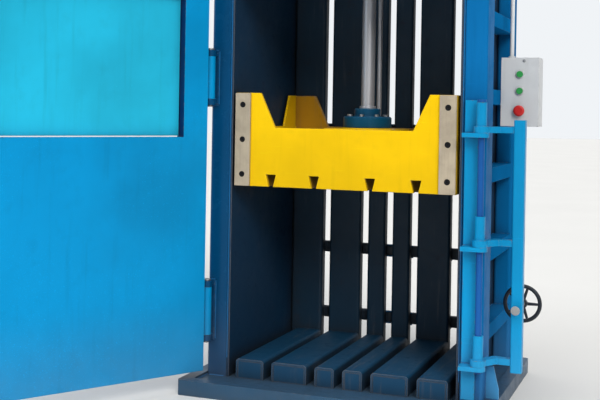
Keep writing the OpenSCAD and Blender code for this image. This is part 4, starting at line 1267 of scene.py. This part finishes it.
@dataclass(frozen=True)
class Chamber:
    """Deck bars, rear slats and rear channels, folded from plate."""

    plate: float = 0.010
    bend: float = 0.011
    slat_plate: float = 0.012
    slat_bend: float = 0.010
    closer: float = 0.010
    rear_closer: float = 0.090
    rib_plate: float = 0.006
    rib_bend: float = 0.009

    def deck(self, recipe: FoldedPlate) -> None:
        """Builds the loading deck's bars and the plates that close their ends."""
        half, closers = self.plate / 2, Stock()
        lines: Lines = []
        names = numbered("floor_bar", 6)
        for name in names:
            low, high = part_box(name)
            x0, x1, y, top = low.x + half, high.x - half, (low.y + high.y) / 2, high.z - half
            lines.append([(x0, y, low.z), (x0, y, top), (x1, y, top), (x1, y, low.z)])
            for y in (low.y + 0.002, high.y - self.rear_closer):
                far = (high.x - self.plate, y + self.closer, high.z - self.plate)
                closers.block((low.x + self.plate, y, low.z), far)
        sizes = {"Bend": self.bend, "Wide": self.plate, "Deep": high.y - low.y}
        recipe.grow("deck_bars", line_seed("deck_lines", lines), "frame", sizes, names, 0.0014)
        settle(closers.done("deck_closers", 0.0012), "frame", Paint.DECK)

    def slats(self, recipe: FoldedPlate) -> None:
        """Builds the rear wall's slats, their flanges to the back."""
        half = self.slat_plate / 2
        lines: Lines = []
        names = numbered("rear_slat", 6)
        for name in names:
            low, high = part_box(name)
            x0, x1, y, z = low.x + half, high.x - half, low.y + half, (low.z + high.z) / 2
            lines.append([(x0, high.y, z), (x0, y, z), (x1, y, z), (x1, high.y, z)])
        sizes = {"Bend": self.slat_bend, "Wide": self.slat_plate, "Deep": high.z - low.z}
        recipe.grow("rear_slats", line_seed("slat_lines", lines), "frame", sizes, names, 0.0014)

    def channels(self, recipe: FoldedPlate) -> None:
        """Builds the channels that run across the back of the slats."""
        low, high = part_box("rear_ribs")
        half = self.rib_plate / 2
        lines: Lines = []
        for z in RIB_HEIGHTS:
            y, z0, z1 = low.y + half, z + half, z + RIB_TALL - half
            lines.append([(0, high.y, z0), (0, y, z0), (0, y, z1), (0, high.y, z1)])
        sizes = {"Bend": self.rib_bend, "Wide": high.x - low.x, "Deep": self.rib_plate}
        recipe.grow("rear_channels", line_seed("channel_lines", lines), "frame", sizes, ["rear_ribs"], 0.001)

    def build(self) -> None:
        """Builds the chamber's folded plates."""
        self.deck(FoldedPlate("folded_deck", Paint.DECK))
        recipe = FoldedPlate("folded_wall", Paint.SLAT)
        self.slats(recipe)
        self.channels(recipe)


@dataclass(frozen=True)
class Door:
    """The swing door with its loading hatch, built shut and turned open about its hinge."""

    hinge: Flat = (-0.660, -0.421)
    angle: float = 122.0
    low: Flat = (-0.630, 0.096)
    high: Flat = (0.572, 1.985)
    hole_low: Flat = (-0.500, 1.214)
    hole_high: Flat = (0.497, 1.885)
    back: float = -0.391
    face: float = -0.451
    skin: float = 0.008
    rib: float = 0.010
    gap: float = 0.005
    hatch_deep: float = 0.021
    hatch_plate: float = 0.008
    shade_lining_thick: float = 0.0016
    rib_heights: tuple[float, ...] = (0.3855, 0.665, 0.9445)
    barrel: float = 0.024
    seat: float = 0.0002
    set_back: float = 0.0006

    def opened(self) -> Matrix:
        """Turns the shut door to where it stands."""
        spot = Matrix.Translation((*self.hinge, 0))
        return spot @ Matrix.Rotation(-math.radians(self.angle), 4, "Z") @ spot.inverted()

    def sheet(self) -> None:
        """Builds the inner skin with its opening."""
        stock = Stock().window(
            (self.low[0], self.back - self.skin, self.low[1]), (self.high[0], self.back, self.high[1]),
            self.hole_low, self.hole_high)
        settle(stock.moved(self.opened()).done("door_sheet", 0.0015, 3), "door", Paint.DOOR, ["door_skin"])

    def shade_lining(self) -> None:
        """Builds the dark strips that line the opening, thin sheets that stand for painted shade on its
        reveal.
        """
        (x0, z0), (x1, z1), thick = self.hole_low, self.hole_high, self.shade_lining_thick
        y0, y1 = self.face + 0.002, self.back - self.set_back
        stock = Stock()
        strips = ((x0, z0, x0 + thick, z1), (x1 - thick, z0, x1, z1), (x0, z1 - thick, x1, z1))
        for left, foot, right, head in strips:
            stock.block((left, y0, foot), (right, y1, head))
        settle(stock.moved(self.opened()).done("hatch_shade_lining", 0.0), "door", Paint.SHADE_LINING)

    def hatch(self) -> None:
        """Builds the hatch: a plate with a rim and two ribs on its outer side."""
        x0, z0 = (edge + self.gap for edge in self.hole_low)
        x1, z1 = (edge - self.gap for edge in self.hole_high)
        y0, rib = self.face - 0.001, self.rib
        y1 = y0 + self.hatch_deep
        rear = y1 - self.hatch_plate
        stock = Stock().block((x0, rear, z0), (x1, y1, z1))
        rim_back = rear - self.seat
        stock.window((x0, y0, z0), (x1, rim_back, z1), (x0 + rib, z0 + rib), (x1 - rib, z1 - rib))
        for k in (1, 2):
            z = z0 + k * (z1 - z0) / 3
            stock.block((x0 + rib, y0 + self.set_back, z), (x1 - rib, rim_back, z + rib))
        plate = stock.moved(self.opened()).done("hatch_plate", 0.0014, 3)
        settle(plate, "hatch", Paint.HATCH, ["hatch_panel"])

    def beads(self) -> None:
        """Builds the welds of ribs, skin and hinge barrels."""
        y, rib, margin, inset = self.back - self.skin, self.rib, 0.03, 0.036
        (left, foot), (right, _) = self.hole_low, self.hole_high
        lines: Lines = []
        for x in (self.low[0] + rib, self.high[0] - rib, left - rib, right + rib):
            lines += stitches((x, y, self.low[1] + margin), (x, y, foot - margin))
        for z in self.rib_heights:
            lines += stitches((left + 0.02, y, z), (right - 0.02, y, z))
        x = self.hinge[0] + self.barrel
        for z, tall in HINGE_SPANS:
            for seam in (self.hinge[1] - rib, self.hinge[1] + rib):
                lines.append([(x, seam, z + inset), (x, seam, z + tall - inset)])
        opened = self.opened()
        turned = [[tuple(opened @ Vector(p)) for p in line] for line in lines]
        WeldBead(Paint.DOOR).grow("door_welds", line_seed("door_weld_lines", turned), "door")

    def build(self) -> None:
        """Builds the door's own pieces."""
        self.sheet()
        self.shade_lining()
        self.hatch()
        self.beads()


@dataclass(frozen=True)
class SwingLock:
    """Clamp screw, handwheel and welds of the lock on the right post."""

    pin: Flat = (0.661, -0.432)
    tie: Flat = (0.816, -0.347)
    arm_thick: float = 0.028
    tie_wide: float = 0.050
    screw_height: float = 0.4945
    screw: float = 0.012
    pitch: float = 0.006
    tail: float = 0.130
    tip: float = 0.037
    foot: float = 0.020
    wheel: float = 0.078
    rim: float = 0.009
    hub: float = 0.022
    hub_deep: float = 0.030
    end: float = 0.006

    def wheel_end(self) -> Matrix:
        """Takes an upright shape to the screw's outer end."""
        return lying((self.tie[0], self.tie[1] + self.tie_wide / 2 + self.tail, self.screw_height))

    def clamp(self) -> None:
        """Builds the threaded screw with its foot, its axis along -Y."""
        length = self.tail + self.tie_wide + self.tip
        root, screw, foot = length - self.end, self.screw, self.foot
        shank = [(0, 0), (0.0105, 0), (screw, 0.0015), (screw, 0.036), (0, 0.036)]
        pad = [(0, root), (foot - 0.001, root), (foot, root + 0.001), (foot, length - 0.0015),
               (foot - 0.0015, length), (0, length)]
        thread = Stock().thread(screw, depth=0.0016, pitch=self.pitch, start=0.035, end=root)
        stock = Stock().turned(shank, (0, 0), 32).add(thread)
        stock.add(Stock().turned(pad, (0, 0), 40)).moved(self.wheel_end())
        settle(stock.done("clamp_thread", 0.0), "screw", Paint.ZINC, ["clamp_screw"])

    def handwheel(self) -> None:
        """Builds the cast wheel: a round rim, a stepped hub and five tapered spokes."""
        deep, hub, bore = self.hub_deep, self.hub, self.screw + 0.0004
        circle = [(x, z) for x, z, _ in ring_points((self.wheel, deep / 2), self.rim, 0.0, 14)]
        stock = Stock().turned(circle, (0, 0), 72, ring=True)
        stock.add(Stock().turned(
            [(bore, 0), (hub - 0.003, 0), (hub, 0.003), (hub, 0.022), (hub - 0.005, deep - 0.002),
             (hub - 0.007, deep), (bore, deep)], (0, 0), 48, ring=True))
        taper = [(0, 0.016), (0.0078, 0.016), (0.0058, self.wheel - 0.006), (0, self.wheel - 0.002)]
        for k in range(5):
            turn = Matrix.Rotation(ROUND * k / 5, 4, "Z") @ Matrix.Translation((0, 0, deep / 2))
            stock.add(Stock().turned(taper, (0, 0), 16), turn @ Matrix.Rotation(math.radians(90), 4, "Y"))
        settle(stock.moved(self.wheel_end()).done("cast_wheel", 0.0), "wheel", Paint.WHEEL, ["handwheel"])

    def beads(self) -> None:
        """Builds the welds of sleeves and tie tube."""
        lines: Lines = []
        x, y = self.tie[0] - self.tie_wide / 2, self.tie[1]
        for z in ARM_HEIGHTS:
            lines.append(ring_line(self.pin, 0.0235, z + self.arm_thick, 28))
            lines += [[(x, y - 0.017, height), (x, y + 0.017, height)] for height in (z, z + self.arm_thick)]
        seed = line_seed("lock_weld_lines", lines)
        WeldBead(Paint.LOCK).grow("lock_welds", seed, "lock_frame", {"Radius": 0.0036, "Step": 0.003})

    def build(self) -> None:
        """Builds the lock's own pieces."""
        self.clamp()
        self.handwheel()
        self.beads()


@dataclass(frozen=True)
class PowerUnit:
    """Motor, and the screws of tank lid, pump, gland and cabinet, on and beside the crown."""

    core: float = 0.078
    cowl: float = 0.090
    cowl_tall: float = 0.068
    grille: tuple[float, ...] = (0.064, 0.050, 0.036, 0.022)
    grille_deep: float = 0.007
    box_wide: float = 0.035
    box_back: float = 0.045
    box_span: Flat = (0.070, 0.140)
    box_lip: float = 0.002
    box_lid: float = 0.008
    lid: Flat = (0.180, 0.330)
    lid_edge: Flat = (0.014, 0.016)
    tank_start: float = 0.040
    tank_ends: float = 0.064
    pump_ring: float = 0.076
    gland_ring: float = 0.074

    def motor(self) -> None:
        """Builds the finned motor with its cowl and terminal box."""
        low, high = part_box("motor")
        x, y = (edge - self.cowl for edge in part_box("pump")[1][:2])
        foot, top, cowl, core = low.z, high.z, self.cowl, self.core
        seam = top - self.cowl_tall
        grille: list[Flat] = []
        sunk = top - self.grille_deep
        for r in self.grille:
            grille += [(r, top), (r - 0.001, sunk), (r - 0.006, sunk), (r - 0.007, top)]
        stock = Stock().turned(
            [(0, foot), (0.088, foot), (0.090, foot + 0.002), (0.090, foot + 0.014), (0.082, foot + 0.020),
             (core, foot + 0.022), (core, seam), (cowl - 0.003, seam), (cowl, seam + 0.003),
             (cowl, top - 0.014), (0.084, top - 0.004), (0.074, top), *grille, (0.0, top)], (x, y), 64)
        (below, above), wide, lip = (foot + rise for rise in self.box_span), self.box_wide, self.box_lip
        stock.block((x - wide, low.y, below), (x + wide, y - self.box_back, above))
        stock.block((x - wide - lip, low.y, below - lip), (x + wide + lip, low.y + self.box_lid, above + lip))
        settle(stock.done("motor_housing", 0.001), "frame", Paint.MOTOR, ["motor"])
        seat = point_seed("motor_seat", [(x, y, (foot + seam) / 2)], [UP])
        Fins().grow("motor_fins", seat, "frame", {"Tall": seam - foot - 0.05, "Radius": core})

    def screws(self) -> None:
        """Builds the screws of tank lid, pump flange and gland."""
        low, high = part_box("oil_tank")
        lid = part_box("pump")[0].z
        step = (high.x - low.x - self.tank_ends) / 7
        rows = (high.y - 0.014, low.y + 0.028)
        spots = [(low.x + self.tank_start + k * step, y, lid) for k in range(8) for y in rows]
        spots += ring_points(middle("pump"), self.pump_ring, lid + 0.014, 6, ROUND / 12)
        ways = [UP] * len(spots) + [DOWN] * 8
        spots += ring_points(middle("cylinder_gland"), self.gland_ring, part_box("cylinder_gland")[0].z, 8)
        screws = HexScrew("unit_screw", Paint.ZINC, head=0.0075, rise=0.0062, washer=0.0098)
        screws.grow("unit_screws", point_seed("unit_spots", spots, ways), "frame")

    def cabinet(self) -> None:
        """Builds the screws of the cabinet's lid, round the buttons."""
        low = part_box("control_box")[0]
        (wide, tall), (in_x, in_z) = self.lid, self.lid_edge
        xs, zs = (low.x + in_x, low.x + wide - in_x), (low.z + in_z, low.z + tall - in_z)
        spots = [(x, low.y + 0.005, z) for x in xs for z in zs]
        screws = HexScrew("lid_screw", Paint.ZINC, head=0.0052, rise=0.0042, washer=0.0072)
        screws.grow("cabinet_screws", point_seed("cabinet_spots", spots, [(0, -1, 0)] * len(spots)), "frame")

    def build(self) -> None:
        """Builds the unit's own pieces."""
        self.motor()
        self.screws()
        self.cabinet()


@dataclass(frozen=True)
class FrameWelds:
    """Welds of the standing frame and of the platen."""

    post_in: float = 0.567
    post_out: float = 0.672
    front: float = -0.377
    post_back: float = -0.217
    round_off: float = 0.014
    floor_plate: float = 0.058
    deck: float = 0.150
    crown: float = 2.280
    crown_top: float = 2.460
    base: Flat = (0.672, 0.517)
    hinge_seam: float = -0.632
    hinge_foot: Flat = (-0.656, -0.634)
    hinge_lug: Flat = (-0.668, -0.642)
    rail: Flat = (0.581, 0.640)
    rail_lug: Flat = (0.584, 0.637)
    rail_span: Flat = (0.12, 1.39)
    post_rear: float = 0.405
    side_rib: float = 0.300
    side_step: float = 0.364
    side_tall: float = 0.070
    slat_back: float = 0.485
    slat_span: Flat = (-0.55, 0.55)
    gusset: Flat = (-0.303, -0.291)
    gusset_span: Flat = (0.076, 0.216)
    gusset_run: Flat = (0.004, 0.056)
    gusset_foot: float = 0.072
    header: float = -0.401
    header_span: Flat = (-0.65, 0.65)
    header_seams: tuple[float, ...] = (2.005, 2.1375, 2.270)
    tank_tall: float = 0.290
    barrel: float = 0.091
    barrel_foot: float = 0.030
    barrel_head: float = 0.076
    platen_floor: float = 1.062
    pedestal: float = 0.170
    rib_side: float = 0.176
    box_side: float = 0.528
    box_span: Flat = (1.064, 1.262)
    box_ends: Flat = (-0.355, 0.393)
    rib_span: Flat = (-0.350, -0.155)
    pedestal_span: Flat = (-0.151, 0.189)
    flange: float = 0.121
    boss: float = 0.066

    def posts(self) -> Lines:
        """Seams of both posts with wall, base and crown."""
        lines: Lines = []
        front, out, soft = self.front, self.post_out, self.round_off
        for side in (-1, 1):
            lines.append(upright(side * self.post_in, front + 0.002, (self.deck, self.crown)))
            for z in (self.floor_plate, self.crown):
                lines.append(across((side * (self.post_in + soft), side * (out - soft)), front, z))
                lines.append([(side * out, y, z) for y in (front + soft, self.post_back - soft)])
        x, y = self.base
        ring = corners((-x, -y), (x, y))
        return [*lines, [(*spot, self.floor_plate) for spot in ring + ring[:1]]]

    def hinges_and_rail(self) -> Lines:
        """Welds of hinge plates, lugs, lock rail and its lug plates."""
        lines: Lines = []
        front = self.front
        for foot, tall in HINGE_SPANS:
            top = foot + tall
            lines.append(upright(self.hinge_seam, front, (foot + 0.004, top - 0.004)))
            lines += [across(self.hinge_foot, front, z) for z in (foot, top)]
            lines += [across(self.hinge_lug, front - 0.010, z) for z in (foot + 0.030, top - 0.030)]
        for x in self.rail:
            lines += stitches(*upright(x, front, self.rail_span), run=0.05, pitch=0.17)
        for z in ARM_HEIGHTS:
            lines += [across(self.rail_lug, front - 0.020, face) for face in (z - 0.0205, z - 0.0005)]
        return lines

    def sides(self) -> Lines:
        """Welds of side ribs, rear channels, gusset, header and tank."""
        lines: Lines = []
        for x in (-self.post_in, self.post_in):
            for k in range(6):
                z = self.side_rib + k * self.side_step
                for height in (z, z + self.side_tall):
                    lines += stitches((x, self.post_back + 0.02, height), (x, self.post_rear, height))
        for z in RIB_HEIGHTS:
            for height in (z, z + RIB_TALL):
                lines += stitches(*across(self.slat_span, self.slat_back, height), run=0.04, pitch=0.11)
        start, end = (self.post_out + run for run in self.gusset_run)
        for y in self.gusset:
            lines += [upright(self.post_out, y, self.gusset_span), across((start, end), y, self.gusset_foot)]
        for z in self.header_seams:
            lines += stitches(*across(self.header_span, self.header, z), run=0.05, pitch=0.14)
        low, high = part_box("oil_tank")
        tank = corners((low.x + 0.016, low.y + 0.014), (high.x - 0.012, high.y - 0.012))
        span = (self.crown_top + 0.002, self.crown_top + self.tank_tall)
        return lines + [upright(x, y, span) for x, y in tank]

    def cylinder(self) -> Lines:
        """Round welds of the cylinder's flange and head."""
        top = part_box("cylinder_barrel")[1].z
        heights = (self.crown_top + self.barrel_foot, top - self.barrel_head)
        return [ring_line(ROD_SPOT, self.barrel, z, 60) for z in heights]

    def platen(self) -> Lines:
        """Welds of the platen's box, pedestal and flange."""
        lines, floor = [ring_line(ROD_SPOT, self.flange, PLATEN_TOP, 72)], self.platen_floor
        for side in (-1, 1):
            x, y = side * self.rib_side, ROD_SPOT[1] + side * self.pedestal
            lines += [upright(side * self.box_side, depth, self.box_span) for depth in self.box_ends]
            lines += stitches(*((x, depth, floor) for depth in self.rib_span))
            for span in ((-0.52, -0.18), (0.18, 0.52)):
                lines += stitches(*across(span, y, floor))
            lines.append([(side * self.pedestal, depth, PLATEN_TOP - 0.020) for depth in self.pedestal_span])
        return lines

    def build(self) -> None:
        """Builds the beads, one piece for each finish and body."""
        standing = self.posts() + self.hinges_and_rail() + self.sides() + self.cylinder()
        groups = (
            ("frame_welds", "frame", Paint.FRAME, standing),
            ("platen_welds", "platen", Paint.PLATEN, self.platen()),
            ("boss_weld", "platen", Paint.FLANGE, [ring_line(ROD_SPOT, self.boss, PLATEN_TOP + 0.060, 48)]),
        )
        for name, body, paint, lines in groups:
            WeldBead(paint).grow(name, line_seed(name + "_lines", lines), body)


@dataclass(frozen=True)
class Weldment:
    """CAD nodes of one body that keep their shape and get eased edges and a finish."""

    body: str
    items: tuple[tuple[str, Paint, float], ...]

    def build(self) -> None:
        """Builds one eased copy of each node."""
        for node, paint, width in self.items:
            settle(rounded_copy(node, node + "_eased", width), self.body, paint, [node])


@dataclass(frozen=True)
class Studio:
    """Plain floor, soft lights and the camera of the photograph."""

    eye: Point = (1.5536, -4.9997, 1.348)
    heading: float = 20.8
    roll: float = 0.99
    lens: float = 63.0
    shift: Flat = (-0.0026, -0.149)
    floor_half: float = 60.0

    def floor(self) -> None:
        """Builds the flat floor."""
        half = self.floor_half
        data = bpy.data.meshes.new("studio_floor")
        data.from_pydata([(x, y, 0) for x, y in corners((-half, -half), (half, half))], [], [(0, 1, 2, 3)])
        piece = new_piece("studio_floor", data)
        data.materials.append(Ground("studio_ground", "").material())

    def light(
        self, name: str, kind: str, way: Vector, strength: float, colour: Rgb = (1, 1, 1)
    ) -> bpy.types.Object:
        """Adds a light.

        Args:
            name: The light's name.
            kind: SUN for even light from one side or AREA for a lamp.
            way: The way that its light travels.
            strength: Watts on a square metre for a sun, watts for a lamp.
            colour: Its colour.

        Returns:
            The light at the origin.
        """
        data = bpy.data.lights.new(name, kind)
        data.energy, data.color = strength, colour
        lamp = new_piece(name, data)
        lamp.rotation_euler = way.to_track_quat("-Z", "Y").to_euler()
        return lamp

    def lights(self) -> None:
        """Adds three wide suns and one soft rectangular lamp."""
        suns = (
            ("key_light", (-3.6, 4.9, -3.6), 1.75, 24, (1.0, 0.985, 0.95)),
            ("sky_light", (0.1, 0.4, -1.0), 1.5, 60, (1, 1, 1)),
            ("back_light", (0.5, -1.0, -0.45), 0.7, 130, (0.95, 0.98, 1.0)),
        )
        for name, way, strength, spread, colour in suns:
            self.light(name, "SUN", Vector(way), strength, colour).data.angle = math.radians(spread)
        spot, aim = Vector((-4.6, -4.2, 2.8)), Vector((-0.4, -0.4, 1.0))
        fill = self.light("fill_light", "AREA", aim - spot, 80, (0.93, 0.97, 1.0))
        fill.location = spot
        fill.data.shape = "RECTANGLE"
        fill.data.size, fill.data.size_y = 3.0, 3.0

    def camera(self) -> None:
        """Sets the camera where the photograph was taken from."""
        data = bpy.data.cameras.new("photo_camera")
        data.lens = self.lens
        data.sensor_width = 36.0
        data.shift_x, data.shift_y = self.shift
        data.clip_start, data.clip_end = 0.1, 60.0
        camera = new_piece("photo_camera", data)
        heading = math.radians(self.heading)
        ahead = Vector((-math.sin(heading), math.cos(heading), 0))
        turn = ahead.to_track_quat("-Z", "Y").to_matrix().to_4x4()
        roll = Matrix.Rotation(math.radians(self.roll), 4, "Z")
        camera.matrix_world = Matrix.Translation(self.eye) @ turn @ roll
        bpy.context.scene.camera = camera

    def build(self) -> None:
        """Builds the studio."""
        self.floor()
        self.lights()
        world = bpy.data.worlds.new("studio_air")
        world.use_nodes = True
        air = Nodes(world.node_tree)
        air.tree.nodes.clear()
        seen = air.take("ShaderNodeLightPath", "Is Camera Ray", {}, {})
        light = air.take("ShaderNodeBackground", 0, {}, {0: (0.94, 0.97, 1.0), 1: 0.38 + 0.55 * seen})
        air.node("ShaderNodeOutputWorld", {}, {0: light})
        bpy.context.scene.world = world
        bpy.context.scene.view_settings.view_transform = "Standard"


def main() -> None:
    """Builds the studio and every sub-assembly."""
    studio = Studio()
    studio.camera()
    studio.build()
    for group in (Platen(), Chamber(), Door(), SwingLock(), PowerUnit(), FrameWelds()):
        group.build()
    parts = (
        Weldment("frame", (
            ("base_frame", Paint.BASE, 0.006), ("base_plate", Paint.BASE, 0.002),
            ("corner_gusset", Paint.GUSSET, 0.002), ("left_wall", Paint.WALL, 0.002),
            # the posts wear the shaded and the lit copy of the frame blue
            ("right_wall", Paint.WALL, 0.002), ("left_post", Paint.SHADED_POST, 0.0),
            ("right_post", Paint.LIT_POST, 0.0), ("left_side_frame", Paint.SIDE, 0.004),
            ("right_side_frame", Paint.SIDE, 0.004), ("front_header", Paint.FRAME, 0.003),
            ("crown_frame", Paint.FRAME, 0.003), ("cylinder_barrel", Paint.FRAME, 0.002),
            ("cylinder_gland", Paint.DARK, 0.002), ("flange_bolts", Paint.ZINC, 0.001),
            ("oil_tank", Paint.FRAME, 0.003), ("pump", Paint.DARK, 0.002), ("oil_pipes", Paint.ZINC, 0.001),
            ("control_box", Paint.CABINET, 0.002), ("post_hinges", Paint.SHADED_POST, 0.003),
            ("hinge_pins", Paint.ZINC, 0.001), ("lock_rail", Paint.LOCK, 0.003),
            ("lock_pin", Paint.PIN, 0.001))),
        Weldment("up_button", (("button_up", Paint.GREEN, 0.001),)),
        Weldment("down_button", (("button_down", Paint.GREEN, 0.001),)),
        Weldment("stop", (("stop_button", Paint.RED, 0.001),)),
        Weldment("door", (("door_frame", Paint.DOOR, 0.002),)),
        Weldment("hatch", (("hatch_hinges", Paint.ZINC, 0.001),)),
        Weldment("latch", (("hatch_latch", Paint.ZINC, 0.001),)),
        Weldment("lock_frame", (
            *((name, Paint.LOCK, 0.002) for name in numbered("lock_arm", 3)),
            ("lock_tie", Paint.LOCK, 0.003))),
    )
    for part in parts:
        part.build()
    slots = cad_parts["piston"].data.materials
    slots.clear()
    slots.append(Paint.DARK.value.material())


if __name__ == "__main__":
    main()
